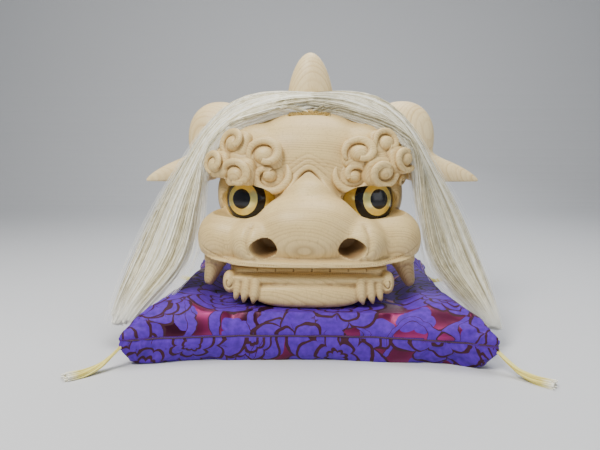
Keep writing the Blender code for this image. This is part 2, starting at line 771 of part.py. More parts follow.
# The ear's lobe and drooping tip: places as shares of the reach from the middle plane and of the
# ear's height below its top, radii as shares of its half width.
EAR_TIP = [
    # reach, down, radius
    (0.60, 0.80, 0.58),
    (0.72, 0.93, 0.40),
    (0.84, 0.985, 0.29),
    (0.93, 1.01, 0.17),
    (0.995, 1.03, 0.05),
]
EAR_LOBE = (0.535, 0.49)


def ear(outer_grown):
    """The right ear: a round lobe against the head that runs out into a flat drooping tip."""
    reach, down = EAR_LOBE
    lobe = mass((reach * EAR_REACH, EAR_Y, EAR_TOP_Z - down * EAR_HEIGHT),
                (EAR_HALF_WIDTH, EAR_THICKNESS / 2, EAR_HEIGHT / 2), EAR_SQUARENESS)
    points = [(reach * EAR_REACH, EAR_Y - EAR_SWEEP * reach * EAR_REACH, EAR_TOP_Z - down * EAR_HEIGHT)
              for reach, down, radius in EAR_TIP]
    tip = tube(points, [radius * EAR_HALF_WIDTH for reach, down, radius in EAR_TIP], EAR_TIP_FLATNESS, 14)
    mesh = fused([lobe, tip], VOXEL, EAR_PASSES, EAR_TRIANGLES)
    return cut(mesh, [outer_grown.copy()])


# The mane's two borders from the slot to the tips: across as a share of its reach, along as a share
# of the head's depth from the rear rim, down as a share of its drop, thickness as a share.
MANE_ROWS = [
    # inner across, along, down, outer across, along, down, thickness
    (0.010, 0.668, 0.088, 0.010, 0.572, 0.022, 0.75),
    (0.171, 0.700, 0.100, 0.192, 0.530, 0.008, 0.95),
    (0.320, 0.722, 0.142, 0.380, 0.550, 0.036, 1.00),
    (0.462, 0.738, 0.222, 0.545, 0.595, 0.140, 1.00),
    (0.540, 0.746, 0.347, 0.665, 0.612, 0.320, 0.95),
    (0.595, 0.770, 0.545, 0.812, 0.628, 0.525, 0.90),
    (0.660, 0.820, 0.755, 0.925, 0.690, 0.770, 0.85),
    (0.745, 0.930, 0.890, 1.000, 0.815, 1.000, 0.55),
]
MANE_LOCKS = 5


def mane_place(across, along, down):
    return Vector((across * MANE_REACH, REAR_RIM_Y - along * HEAD_DEPTH,
                   MANE_TOP_Z - down * (MANE_TOP_Z - MANE_TIP_Z)))


def mane_lock(position, sides=10):
    """One lock: position runs from 0 at the inner border to 1 at the outer one."""
    stations = []
    for row in MANE_ROWS:
        inner, outer = mane_place(*row[0:3]), mane_place(*row[3:6])
        stations.append((*inner.lerp(outer, position), *(outer - inner), row[6]))
    path = smooth_path(stations, 3)
    rings = []
    for k, row in enumerate(path):
        ahead = Vector(path[min(k + 1, len(path) - 1)][:3] - path[max(k - 1, 0)][:3]).normalized()
        spread = Vector(row[3:6])
        wide = spread.normalized()
        thin = ahead.cross(wide).normalized()
        taper = 1.0 - LOCK_TAPER * (k / (len(path) - 1)) ** LOCK_TAPER_BEND
        half_width = taper * (LOCK_OVERLAP * spread.length / MANE_LOCKS + LOCK_LEAST)
        half_thick = taper * 0.5 * float(row[6]) * MANE_THICKNESS
        rings.append([Vector(row[:3]) + half_width * math.cos(a) * wide + half_thick * math.sin(a) * thin
                      for a in (2 * math.pi * i / sides for i in range(sides))])
    return ring_loft(rings)


def mane(cutters):
    """The right half of the mane, its locks made one curtain that clears what it lies on."""
    locks = [mane_lock(0.5 * (1 - 1 / MANE_LOCKS) * share + 0.5)
             for share in (2 * k / (MANE_LOCKS - 1) - 1 for k in range(MANE_LOCKS))]
    mesh = fused(locks, MANE_VOXEL, MANE_PASSES, MANE_TRIANGLES)
    return cut(mesh, [cutter.copy() for cutter in cutters])


def hair_binding(crown):
    """The bound roots of the mane, which fill the slot and stand a little proud."""
    return slot_box(crown, GAP, BINDING_RISE)


def cushion(cells=12):
    """A square padded cushion, flat below, its sides drawn in between the corners."""
    half = CUSHION_SIDE / 2
    dent_y = (PIVOT_Y + TEETH_FRONT_Y) / 2 - DENT_FORWARD
    dent_half_width = DENT_WIDTH * TEETH_HALF_WIDTH
    dent_half_length = DENT_LENGTH * (PIVOT_Y - TEETH_FRONT_Y)
    seat_z = JAW_BOTTOM_Z - GAP
    bm = bmesh.new()
    steps = [math.sin(math.pi / 2 * (2 * k / cells - 1)) for k in range(cells + 1)]

    def place(u, v, top):
        edge = ((1 - u ** CUSHION_FULLNESS) * (1 - v ** CUSHION_FULLNESS)) ** 0.5
        x = half * u * (1 - SIDE_PULL * (1 - v * v))
        y = half * v * (1 - SIDE_PULL * (1 - u * u))
        if not top:
            return x, y, SEAM_Z * max(0.0, 1 - UNDERSIDE_RISE * edge)
        z = SEAM_Z + (CUSHION_HEIGHT - SEAM_Z) * min(1.0, CROWN_FULLNESS * edge)
        in_dent = abs(x) < dent_half_width and abs(y - dent_y) < dent_half_length
        return x, y, min(z, seat_z) if in_dent else z

    upper = {(i, j): bm.verts.new(place(u, v, True))
             for i, u in enumerate(steps) for j, v in enumerate(steps)}
    lower = {}
    for i, u in enumerate(steps):
        for j, v in enumerate(steps):
            on_seam = i in (0, cells) or j in (0, cells)
            lower[i, j] = upper[i, j] if on_seam else bm.verts.new(place(u, v, False))
    for i in range(cells):
        for j in range(cells):
            corners = [(i, j), (i + 1, j), (i + 1, j + 1), (i, j + 1)]
            if (2 * i < cells) != (2 * j < cells):
                corners = corners[1:] + corners[:1]
            a, b, c, d = corners
            for side in (upper, lower):
                bm.faces.new((side[a], side[b], side[c]))
                bm.faces.new((side[a], side[c], side[d]))
    bmesh.ops.recalc_face_normals(bm, faces=bm.faces)
    mesh = bpy.data.meshes.new("cushion")
    bm.to_mesh(mesh)
    bm.free()
    return mesh


# A tassel from the cushion's corner to its cut ends: share of its length, share of the drop to the
# floor, and its radius as a share of the widest.
TASSEL_ROWS = [
    # run, drop, radius
    (0.008, 0.00, 0.20),
    (0.10, 0.05, 0.36),
    (0.20, 0.20, 0.34),
    (0.28, 0.38, 0.42),
    (0.50, 0.75, 0.72),
    (0.75, 0.97, 0.92),
    (1.00, 1.00, 1.00),
]
TASSEL_LOCKS = 4


def tassel():
    """The tassel of the front right corner; it lies on the floor, its ends away from the cushion."""
    half = CUSHION_SIDE / 2
    heading = Vector((math.cos(TASSEL_TURN), -math.sin(TASSEL_TURN), 0.0))
    side = Vector((math.sin(TASSEL_TURN), math.cos(TASSEL_TURN), 0.0))
    upwards = TASSEL_FLATNESS * Vector((0, 0, 1))
    sides = 3 * TASSEL_LOCKS
    rings = []
    for run, drop, share in TASSEL_ROWS:
        radius = share * TASSEL_RADIUS
        low = TASSEL_FLATNESS * radius * (1 + TASSEL_LOBE)
        centre = Vector((half, -half, SEAM_Z * (1 - drop) + low * drop)) + run * TASSEL_LENGTH * heading
        ring = []
        for k in range(sides):
            angle = 2 * math.pi * k / sides
            reach = radius * (1 + TASSEL_LOBE * math.cos(TASSEL_LOCKS * angle))
            point = centre + reach * (math.cos(angle) * side + math.sin(angle) * upwards)
            ring.append((point.x, point.y, max(0.0, point.z)))
        rings.append(ring)
    return ring_loft(rings)


def placed(name, mesh, origin, parent, finish):
    """Links a piece with its origin at a point, under a parent, in its material."""
    mesh.transform(Matrix.Translation(-Vector(origin)))
    obj = new_object(name, mesh)
    mesh.materials.clear()
    mesh.materials.append(finish)
    mesh.shade_smooth()
    mesh.set_sharp_from_angle(angle=math.radians(40))
    obj.parent = parent
    obj.location = Vector(origin) - (parent.location if parent else Vector())
    return obj


def main():
    clear_scene()
    pivot = bpy.data.objects.new("head_pivot", None)
    pivot.location = (0, PIVOT_Y, PIVOT_Z)
    bpy.context.scene.collection.objects.link(pivot)

    outer = head_outer()
    outer_grown = grown(outer, 2 * GAP)
    crown = crown_height(outer, 0.0, SLOT_Y)
    right_ear = ear(outer_grown)
    pad = cushion()
    hair = mane([outer_grown, grown(right_ear, 2 * GAP), grown(pad, 2 * GAP), horn_form(2 * GAP),
                 slot_box(crown, -GAP, BINDING_RISE + 2 * GAP)])
    tuft = tassel()
    eye = eye_mesh()
    pin = jaw_pin()

    placed("cushion", pad, (0, 0, 0), None, material("satin", PURPLE, 0.35))
    cream = material("tassel thread", CREAM, 0.8)
    placed("tassel_front_right", tuft, (0, 0, 0), None, cream)
    placed("tassel_front_left", mirrored(tuft), (0, 0, 0), None, cream)
    rear = turned(tuft)
    placed("tassel_rear_left", rear, (0, 0, 0), None, cream)
    placed("tassel_rear_right", mirrored(rear), (0, 0, 0), None, cream)
    placed("jaw", jaw(), (0, 0, 0), None, material("carved jaw wood", WOOD, 0.5))

    hinge = (0, PIVOT_Y, PIVOT_Z)
    placed("head_shell", head_shell(outer, crown), hinge, pivot, material("carved wood", WOOD, 0.5))
    pale = material("pale wood", PALE_WOOD, 0.5)
    placed("horn", horn(outer_grown), (0, HORN_Y, crown), pivot, pale)
    gold = material("gold leaf", GOLD, 0.25, 1.0)
    straw = material("bound roots", STRAW, 0.9)
    horsehair = material("horsehair", HAIR, 0.45)
    brass = material("brass", BRASS, 0.3, 1.0)
    placed("hair_binding", hair_binding(crown), (0, SLOT_Y, crown), pivot, straw)
    for side, flip in (("right", False), ("left", True)):
        for name, mesh, finish in (("ear", right_ear, pale), ("eye", eye, gold), ("mane", hair, horsehair),
                                   ("jaw_pin", pin, brass)):
            placed(f"{name}_{side}", mirrored(mesh) if flip else mesh.copy(), hinge, pivot, finish)


main()
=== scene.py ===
"""Lion dance head of bare carved wood on its tasselled damask cushion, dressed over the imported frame."""
import math

import bmesh
import bpy
import numpy as np
from mathutils import Euler, Matrix, Vector
from mathutils.bvhtree import BVHTree


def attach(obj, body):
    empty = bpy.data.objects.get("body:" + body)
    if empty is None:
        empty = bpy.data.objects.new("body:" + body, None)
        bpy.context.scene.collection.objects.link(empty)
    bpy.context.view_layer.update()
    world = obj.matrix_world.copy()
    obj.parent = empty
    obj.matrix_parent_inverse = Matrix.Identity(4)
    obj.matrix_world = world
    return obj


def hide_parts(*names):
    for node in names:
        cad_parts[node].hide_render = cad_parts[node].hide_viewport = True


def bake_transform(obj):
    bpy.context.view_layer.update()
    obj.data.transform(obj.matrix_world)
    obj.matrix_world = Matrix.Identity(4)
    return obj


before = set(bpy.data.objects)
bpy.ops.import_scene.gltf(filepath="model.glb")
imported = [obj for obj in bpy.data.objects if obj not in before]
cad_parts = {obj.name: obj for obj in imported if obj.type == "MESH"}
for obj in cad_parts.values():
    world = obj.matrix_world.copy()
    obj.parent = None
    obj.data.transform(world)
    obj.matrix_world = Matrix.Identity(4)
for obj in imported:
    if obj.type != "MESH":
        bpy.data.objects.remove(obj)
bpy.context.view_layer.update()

# Studio.
# The head is shown on a plain pale sweep of paper under soft boxes, seen from the front, a little
# above the muzzle, as a maker photographs a finished carving.
EYE_PLACE = (0.014, -0.771, 0.230)
EYE_YAW = 2.145
EYE_DIP = 6.73
LENS = 32.04
ROOM_LIGHT = 0.36

camera = bpy.data.objects.new("camera", bpy.data.cameras.new("camera"))
camera.data.sensor_width = 36.0
camera.data.lens = LENS
camera.matrix_world = (Matrix.Translation(EYE_PLACE) @ Matrix.Rotation(math.radians(EYE_YAW), 4, "Z")
                       @ Matrix.Rotation(math.radians(90 - EYE_DIP), 4, "X"))
bpy.context.scene.collection.objects.link(camera)
bpy.context.scene.camera = camera


def new_material(name, roughness):
    """A node material, its node tree and its shader."""
    result = bpy.data.materials.new(name)
    result.use_nodes = True
    tree = result.node_tree
    shader = tree.nodes["Principled BSDF"]
    shader.inputs["Roughness"].default_value = roughness
    return result, tree, shader


def add_node(tree, kind, inputs=None, **settings):
    """A node with its settings, each input a value or another node's output."""
    node = tree.nodes.new(kind)
    for key, value in settings.items():
        setattr(node, key, value)
    for key, value in (inputs or {}).items():
        if isinstance(value, bpy.types.NodeSocket):
            tree.links.new(value, node.inputs[key])
        else:
            node.inputs[key].default_value = value
    return node


def ramp(tree, factor, stops):
    """A colour ramp's output along stops of a place and a grey value or a colour."""
    node = tree.nodes.new("ShaderNodeValToRGB")
    elements = node.color_ramp.elements
    while len(elements) < len(stops):
        elements.new(0.5)
    for element, (place, colour) in zip(elements, stops):
        element.position = place
        element.color = (colour, colour, colour, 1.0) if isinstance(colour, float) else (*colour, 1.0)
    tree.links.new(factor, node.inputs["Fac"])
    return node.outputs["Color"]


def mixed(tree, factor, first, second, blend="MIX"):
    """Two colours blended; each may be a value or another node's output."""
    node = tree.nodes.new("ShaderNodeMix")
    node.data_type = "RGBA"
    node.blend_type = blend
    for socket, value in ((node.inputs[0], factor), (node.inputs[6], first), (node.inputs[7], second)):
        if isinstance(value, bpy.types.NodeSocket):
            tree.links.new(value, socket)
        elif isinstance(value, float):
            socket.default_value = value
        else:
            socket.default_value = (*value, 1.0)
    return node.outputs[2]


def calc(tree, operation, *values):
    """One step of arithmetic on numbers or sockets."""
    node = tree.nodes.new("ShaderNodeMath")
    node.operation = operation
    for socket, value in zip(node.inputs, values):
        if isinstance(value, bpy.types.NodeSocket):
            tree.links.new(value, socket)
        else:
            socket.default_value = value
    return node.outputs[0]


def mult(tree, *values):
    return calc(tree, "MULTIPLY", *values)


def plus(tree, *values):
    return calc(tree, "ADD", *values)


def less(tree, *values):
    return calc(tree, "SUBTRACT", *values)


def noise(tree, place, scale, detail, roughness=0.5):
    """A noise pattern's grey value, its scale in repeats to the metre."""
    return add_node(tree, "ShaderNodeTexNoise", {"Vector": place, "Scale": scale, "Detail": detail,
                                                 "Roughness": roughness}).outputs["Fac"]


def vector_step(tree, operation, *values):
    """One step of arithmetic on vectors."""
    return add_node(tree, "ShaderNodeVectorMath", dict(enumerate(values)), operation=operation).outputs


def object_place(tree):
    return add_node(tree, "ShaderNodeTexCoord").outputs["Object"]


def attribute(tree, name, output="Fac"):
    return add_node(tree, "ShaderNodeAttribute", attribute_name=name).outputs[output]


def finished(bm, name):
    """The mesh that an edit ends in."""
    mesh = bpy.data.meshes.new(name)
    bm.to_mesh(mesh)
    bm.free()
    return mesh


def new_object(name, mesh):
    obj = bpy.data.objects.new(name, mesh)
    bpy.context.scene.collection.objects.link(obj)
    return obj


paper, tree, shader = new_material("studio_paper", 0.85)
shader.inputs["Base Color"].default_value = (0.62, 0.63, 0.65, 1.0)
bm = bmesh.new()
SWEEP = [(-2.2, 0.0), (1.1, 0.0), (1.45, 0.06), (1.7, 0.30), (1.8, 0.7), (1.8, 2.6)]
edges = [(bm.verts.new((-3.0, y, z)), bm.verts.new((3.0, y, z))) for y, z in SWEEP]
for (a, b), (c, d) in zip(edges, edges[1:]):
    bm.faces.new((a, b, d, c))
backdrop = new_object("paper_sweep", finished(bm, "paper_sweep"))
backdrop.data.materials.append(paper)
soften = backdrop.modifiers.new("Subdivision", "SUBSURF")
soften.levels = soften.render_levels = 3

SOFT_BOXES = [
    # name, place, watts, width, warmth
    ("key", (-0.62, -1.00, 1.40), 35.0, 0.65, (1.0, 0.97, 0.91)),
    ("fill", (1.20, -0.95, 0.70), 6.0, 1.1, (0.93, 0.96, 1.0)),
    ("top", (0.10, 0.10, 1.45), 16.0, 0.8, (1.0, 1.0, 1.0)),
    ("back", (0.3, 1.3, 0.9), 5.0, 0.8, (0.93, 0.96, 1.0)),
]
for name, place, watts, width, tint in SOFT_BOXES:
    lamp = bpy.data.objects.new(name, bpy.data.lights.new(name, "AREA"))
    lamp.data.energy = watts
    lamp.data.size = width
    lamp.data.color = tint
    aim = (Vector((0, 0, 0.15)) - Vector(place)).to_track_quat("-Z", "Y")
    lamp.matrix_world = Matrix.Translation(place) @ aim.to_matrix().to_4x4()
    bpy.context.scene.collection.objects.link(lamp)
room = bpy.data.worlds.new("room")
room.use_nodes = True
room.node_tree.nodes["Background"].inputs[0].default_value = (0.50, 0.54, 0.60, 1.0)
room.node_tree.nodes["Background"].inputs[1].default_value = ROOM_LIGHT
bpy.context.scene.world = room

# Lower jaw.
# The jaw is one block of wood: a trough with teeth, a rolled lip, a chin roll, cut beard locks and
# ball curls, and two arms that the head's pins turn in. It lies on the cushion.
TEETH_HALF_WIDTH = 0.100
TEETH_FRONT_Y = -0.146
TEETH_WALL = 0.009
MOUTH_BACK_Y = 0.202
BEYOND = 0.3
JAW_BOTTOM_Z = 0.0586
JAW_FLOOR = 0.009
JAW_ARM_THICKNESS = 0.011
JAW_ARM_RADIUS = 0.013
JAW_ARM_OUTER_X = 0.104
MOUTH_Z = 0.104
PIVOT_Y = 0.112
PIVOT_Z = 0.114
PIN_RADIUS = 0.0043
JAW_VOXEL = 0.0011


def plain_mesh(obj):
    """An object's modifiers applied: gives back its mesh and drops the object."""
    bpy.context.view_layer.update()
    graph = bpy.context.evaluated_depsgraph_get()
    mesh = bpy.data.meshes.new_from_object(obj.evaluated_get(graph), depsgraph=graph)
    bpy.data.objects.remove(obj, do_unlink=True)
    return mesh


def joined(meshes):
    """One mesh that holds several."""
    bm = bmesh.new()
    for mesh in meshes:
        bm.from_mesh(mesh)
    return finished(bm, "joined")


def vertex_array(mesh, what="co"):
    values = np.empty(len(mesh.vertices) * 3)
    mesh.vertices.foreach_get(what, values)
    return values.reshape(-1, 3)


def lump(centre, radii, power=2.0, tilt=(0.0, 0.0, 0.0), detail=5):
    """A rounded mass of wood: an ellipsoid at power 2, squarer as the power grows."""
    bm = bmesh.new()
    bmesh.ops.create_icosphere(bm, subdivisions=detail, radius=1.0)
    mesh = finished(bm, "lump")
    points = vertex_array(mesh)
    points /= (np.abs(points) ** power).sum(axis=1, keepdims=True) ** (1.0 / power)
    mesh.vertices.foreach_set("co", (points * np.array(radii)).ravel())
    mesh.transform(Matrix.Translation(centre) @ Euler(tilt).to_matrix().to_4x4())
    return mesh


def mirrored(mesh):
    bm = bmesh.new()
    bm.from_mesh(mesh)
    bmesh.ops.scale(bm, vec=(-1, 1, 1), verts=bm.verts)
    bmesh.ops.reverse_faces(bm, faces=bm.faces)
    return finished(bm, "mirrored")


def both_sides(mesh):
    return [mesh, mirrored(mesh)]


def loft(rings):
    """A closed body through rings of equally many points."""
    bm = bmesh.new()
    rows = [[bm.verts.new(point) for point in ring] for ring in rings]
    count = len(rows[0])
    for below, above in zip(rows, rows[1:]):
        for i in range(count):
            j = (i + 1) % count
            bm.faces.new((below[i], below[j], above[j], above[i]))
    bm.faces.new(list(reversed(rows[0])))
    bm.faces.new(rows[-1])
    bmesh.ops.recalc_face_normals(bm, faces=bm.faces)
    return finished(bm, "loft")


def smooth_path(points, steps):
    """Points along a smooth curve through the given rows."""
    knots = np.array(points, dtype=float)
    knots = np.vstack([2 * knots[0] - knots[1], knots, 2 * knots[-1] - knots[-2]])
    result = []
    for k in range(1, len(knots) - 2):
        a, b, c, d = knots[k - 1:k + 3]
        for step in range(steps):
            t = step / steps
            result.append(0.5 * (2 * b + (c - a) * t + (2 * a - 5 * b + 4 * c - d) * t * t
                                 + (3 * b - a - 3 * c + d) * t ** 3))
    result.append(knots[-2])
    return np.array(result)


def strip(points, radii, flatten=1.0, sides=16, steps=6, across=(0, 1, 0)):
    """A round-ended strip of wood along a smooth path; flatten squashes it along the across axis."""
    path = smooth_path([(*point, radius) for point, radius in zip(points, radii)], steps)
    rings = []
    for k, row in enumerate(path):
        ahead = Vector(path[min(k + 1, len(path) - 1)][:3] - path[max(k - 1, 0)][:3]).normalized()
        side = ahead.cross(Vector(across)).normalized()
        depth = side.cross(ahead)
        middle, radius = Vector(row[:3]), float(row[3])
        rings.append([middle + radius * (math.cos(a) * side + math.sin(a) * flatten * depth)
                      for a in (2 * math.pi * i / sides for i in range(sides))])
    return loft(rings)


def shaped(meshes, voxel, passes):
    """Overlapping masses made one body, its surface rubbed down by so many passes."""
    obj = new_object("shaped", joined(meshes))
    remesh = obj.modifiers.new("Remesh", "REMESH")
    remesh.mode = "VOXEL"
    remesh.voxel_size = voxel
    if passes:
        rub = obj.modifiers.new("Smooth", "SMOOTH")
        rub.factor = 0.5
        rub.iterations = passes
    return plain_mesh(obj)


def cut_away(mesh, cutters):
    """The body less each cutter."""
    obj = new_object("cut", mesh)
    tools = [new_object("cutter", cutter) for cutter in cutters]
    for tool in tools:
        boolean = obj.modifiers.new("Boolean", "BOOLEAN")
        boolean.operation = "DIFFERENCE"
        boolean.solver = "MANIFOLD"
        boolean.object = tool
    result = plain_mesh(obj)
    for tool in tools:
        bpy.data.objects.remove(tool, do_unlink=True)
    return result


def scribed(mesh, grooves):
    """Knife grooves pressed into a surface: path, half width and depth each, fading at the ends.

    A negative depth raises a ridge.
    """
    points = vertex_array(mesh)
    normals = vertex_array(mesh, "normal")
    push = np.zeros(len(points))
    for path, half_width, depth in grooves:
        low = path.min(axis=0) - 3 * half_width
        high = path.max(axis=0) + 3 * half_width
        near = np.nonzero(np.all((points > low) & (points < high), axis=1))[0]
        if not len(near):
            continue
        away = np.linalg.norm(points[near, None, :] - path[None, :, :], axis=2)
        along = away.argmin(axis=1) / (len(path) - 1)
        fade = np.clip(np.sin(math.pi * along) * 2.5, 0.0, 1.0)
        push[near] += depth * fade * np.exp(-(away.min(axis=1) / half_width) ** 2)
    mesh.vertices.foreach_set("co", (points - normals * push[:, None]).ravel())
    mesh.update()
    return mesh


def lightened(mesh, triangles):
    """The same surface in fewer triangles, kept where it is carved."""
    obj = new_object("lightened", mesh)
    split = obj.modifiers.new("Triangulate", "TRIANGULATE")
    split.quad_method = "SHORTEST_DIAGONAL"
    mesh = plain_mesh(obj)
    if len(mesh.polygons) > triangles:
        obj = new_object("lightened", mesh)
        thin = obj.modifiers.new("Decimate", "DECIMATE")
        thin.ratio = triangles / len(mesh.polygons)
        mesh = plain_mesh(obj)
    return mesh


def marked(mesh, reach, passes=14):
    """Stores how hollow the surface is at each point; from it the wood shader paints shade into the hollows
    and a highlight onto the edges.
    """
    obj = new_object("marked", mesh.copy())
    rub = obj.modifiers.new("Smooth", "SMOOTH")
    rub.factor = 0.5
    rub.iterations = passes
    flat = plain_mesh(obj)
    depth = ((vertex_array(flat) - vertex_array(mesh)) * vertex_array(mesh, "normal")).sum(axis=1)
    hollow = mesh.attributes.new("hollow", "FLOAT", "POINT")
    hollow.data.foreach_set("value", np.clip(depth / reach, -1.0, 1.0).astype(np.float32))
    mesh.polygons.foreach_set("use_smooth", [True] * len(mesh.polygons))
    mesh.update()
    return mesh


def box(low, high):
    centre = [(a + b) / 2 for a, b in zip(low, high)]
    size = [b - a for a, b in zip(low, high)]
    bm = bmesh.new()
    bmesh.ops.create_cube(bm, size=1.0, matrix=Matrix.Translation(centre) @ Matrix.Diagonal((*size, 1.0)))
    return finished(bm, "box")


def rod(start, end, radius, sides=48):
    start, end = Vector(start), Vector(end)
    turn = (end - start).to_track_quat("Z", "Y").to_matrix().to_4x4()
    bm = bmesh.new()
    bmesh.ops.create_cone(bm, cap_ends=True, segments=sides, radius1=radius, radius2=radius,
                          depth=(end - start).length, matrix=Matrix.Translation((start + end) / 2) @ turn)
    return finished(bm, "rod")


def mouth_outline(half_width, front_y, count=96, power=3.2):
    """The plan of the mouth: a rounded U that runs back past the rear rim."""
    middle_y = (front_y + MOUTH_BACK_Y) / 2
    points = []
    for k in range(count):
        c, s = math.cos(2 * math.pi * k / count), math.sin(2 * math.pi * k / count)
        points.append((half_width * math.copysign(abs(c) ** (2 / power), c),
                       middle_y + (MOUTH_BACK_Y - middle_y) * math.copysign(abs(s) ** (2 / power), s)))
    return points


def jaw_place(across, along, up):
    """A point of the jaw from shares of the teeth's half width, the jaw's length and its height."""
    return Vector((across * TEETH_HALF_WIDTH, PIVOT_Y - along * (PIVOT_Y - TEETH_FRONT_Y),
                   JAW_BOTTOM_Z + up * (MOUTH_Z - JAW_BOTTOM_Z)))


JAW_FORMS = [
    # name, along, up, wide, deep, tall, power
    ("trough", 0.560, 0.50, 1.000, 0.430, 0.56, 4.5),
    ("chin roll", 0.994, 0.31, 0.640, 0.062, 0.35, 2.7),
    ("teeth", 0.560, 0.80, 0.985, 0.432, 0.24, 8.0),
    ("lower lip", 0.984, 0.715, 0.935, 0.054, 0.170, 2.2),
    ("lip shadow", 0.975, 0.58, 0.930, 0.045, 0.26, 2.8),
]
BEARD_LOCKS = [
    # x of the root and of the tip, how far forward it lies, z of the tip, radius
    (0.0615, 0.0650, -0.1530, 0.0608, 0.0066),
    (0.0728, 0.0768, -0.1505, 0.0612, 0.0060),
    (0.0832, 0.0872, -0.1462, 0.0635, 0.0052),
]


def strap(start, end, radius_start, radius_end, low_x, high_x, steps=20):
    """A flat bar with round ends between two points of the side view."""
    heading = math.atan2(end[1] - start[1], end[0] - start[0])
    outline = []
    for centre, radius, turn in ((start, radius_start, math.pi / 2), (end, radius_end, -math.pi / 2)):
        for k in range(steps + 1):
            angle = heading + turn + math.pi * k / steps
            outline.append((centre[0] + radius * math.cos(angle), centre[1] + radius * math.sin(angle)))
    return loft([[(x, y, z) for y, z in outline] for x in (low_x, high_x)])


def placed(name, mesh, finish, body, nodes):
    """Shows a finished piece: its material, the body it moves with, and the solids it stands for."""
    mesh.materials.clear()
    mesh.materials.append(finish)
    mesh.polygons.foreach_set("material_index", [0] * len(mesh.polygons))
    obj = new_object(name, mesh)
    if body:
        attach(obj, body)
    if nodes:
        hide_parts(*nodes)
    return obj


jaw_parts = []
for name, along, up, wide, deep, tall, power in JAW_FORMS:
    radii = (wide * TEETH_HALF_WIDTH, deep * (PIVOT_Y - TEETH_FRONT_Y), tall * (MOUTH_Z - JAW_BOTTOM_Z))
    jaw_parts.append(lump(jaw_place(0.0, along, up), radii, power))
jaw_parts += both_sides(lump(jaw_place(0.948, 0.962, 0.60), (0.0088, 0.0125, 0.0142), 2.1))
for root_x, tip_x, front_y, tip_z, radius in BEARD_LOCKS:
    course = [(root_x, front_y + 0.004, 0.0935), (root_x + 0.001, front_y + 0.0012, 0.0810),
              (tip_x - 0.001, front_y + 0.0005, 0.0700), (tip_x + 0.001, front_y + 0.003, tip_z)]
    jaw_parts += both_sides(strip(course, [share * radius for share in (0.85, 0.92, 0.74, 0.16)]))
root = jaw_place(0, 0.20, 0.50)
jaw_parts += both_sides(strap((root.y, root.z), (PIVOT_Y, PIVOT_Z), JAW_ARM_RADIUS * 1.3, JAW_ARM_RADIUS,
                              JAW_ARM_OUTER_X - JAW_ARM_THICKNESS, JAW_ARM_OUTER_X))
jaw_mesh = shaped(jaw_parts, JAW_VOXEL, 5)
inner = mouth_outline(TEETH_HALF_WIDTH - TEETH_WALL, TEETH_FRONT_Y + TEETH_WALL)
floor_z = JAW_BOTTOM_Z + JAW_FLOOR
trough = loft([[(x * share, y, z) for x, y in inner]
               for z, share in ((floor_z, 0.92), (floor_z + 0.006, 1.0), (0.204, 1.0))])
pin_hole = rod((JAW_ARM_OUTER_X - 2 * JAW_ARM_THICKNESS, PIVOT_Y, PIVOT_Z), (0.2, PIVOT_Y, PIVOT_Z),
               PIN_RADIUS)
jaw_mesh = cut_away(jaw_mesh, [
    box((-BEYOND, -BEYOND, 0.0), (BEYOND, BEYOND, JAW_BOTTOM_Z)),
    box((-BEYOND, -BEYOND, MOUTH_Z - 0.0004), (BEYOND, jaw_place(0, 0.24, 0).y, BEYOND)),
    trough, *both_sides(pin_hole)])
jaw_mesh = shaped([jaw_mesh], JAW_VOXEL, 2)


def carved_front(mesh_tree, x, z, start_y=-0.6):
    """How far forward a carved surface reaches at a place of the front view."""
    hit = mesh_tree.ray_cast(Vector((x, start_y, z)), Vector((0, 1, 0)))
    return hit[0] if hit[0] is not None else Vector((x, 0, z))


def surface_of(mesh):
    return BVHTree.FromPolygons([v.co for v in mesh.vertices], [p.vertices for p in mesh.polygons])


def front_line(surface, points, steps=8):
    """A path of front-view points laid on a carved surface."""
    path = smooth_path(points, steps)
    return np.array([tuple(carved_front(surface, x, z)) for x, z in path])


TOOTH_PITCH = 0.0218
TOOTH_START = 0.0046
TOOTH_GROOVE = (0.0008, 0.0016)
LIP_LINE = np.linspace(-0.086, 0.086, 12)
surface = surface_of(jaw_mesh)
grooves = []
for k in range(-3, 4):
    x = TOOTH_START + k * TOOTH_PITCH
    grooves.append((front_line(surface, [(x, 0.1045), (x, 0.1020), (x, 0.0995)], 4), *TOOTH_GROOVE))
lip_edge = [(x, 0.0982 - 4e-4 * math.cos(x * 60)) for x in LIP_LINE]
grooves.append((front_line(surface, lip_edge), 0.0009, 0.0007))
grooves.append((front_line(surface, [(x, 0.0852 + 0.25 * x * x) for x in LIP_LINE]), 0.0030, 0.0005))
for side in (-1, 1):
    coil = [(side * (0.0955 + 0.0052 * share * math.cos(3.4 - 6.6 * share)),
             0.0868 + 0.0088 * share * math.sin(3.4 - 6.6 * share)) for share in np.linspace(1.0, 0.30, 12)]
    grooves.append((front_line(surface, coil, 4), 0.0010, 0.0022))
jaw_mesh = marked(lightened(scribed(jaw_mesh, grooves), 120000), 0.0011)


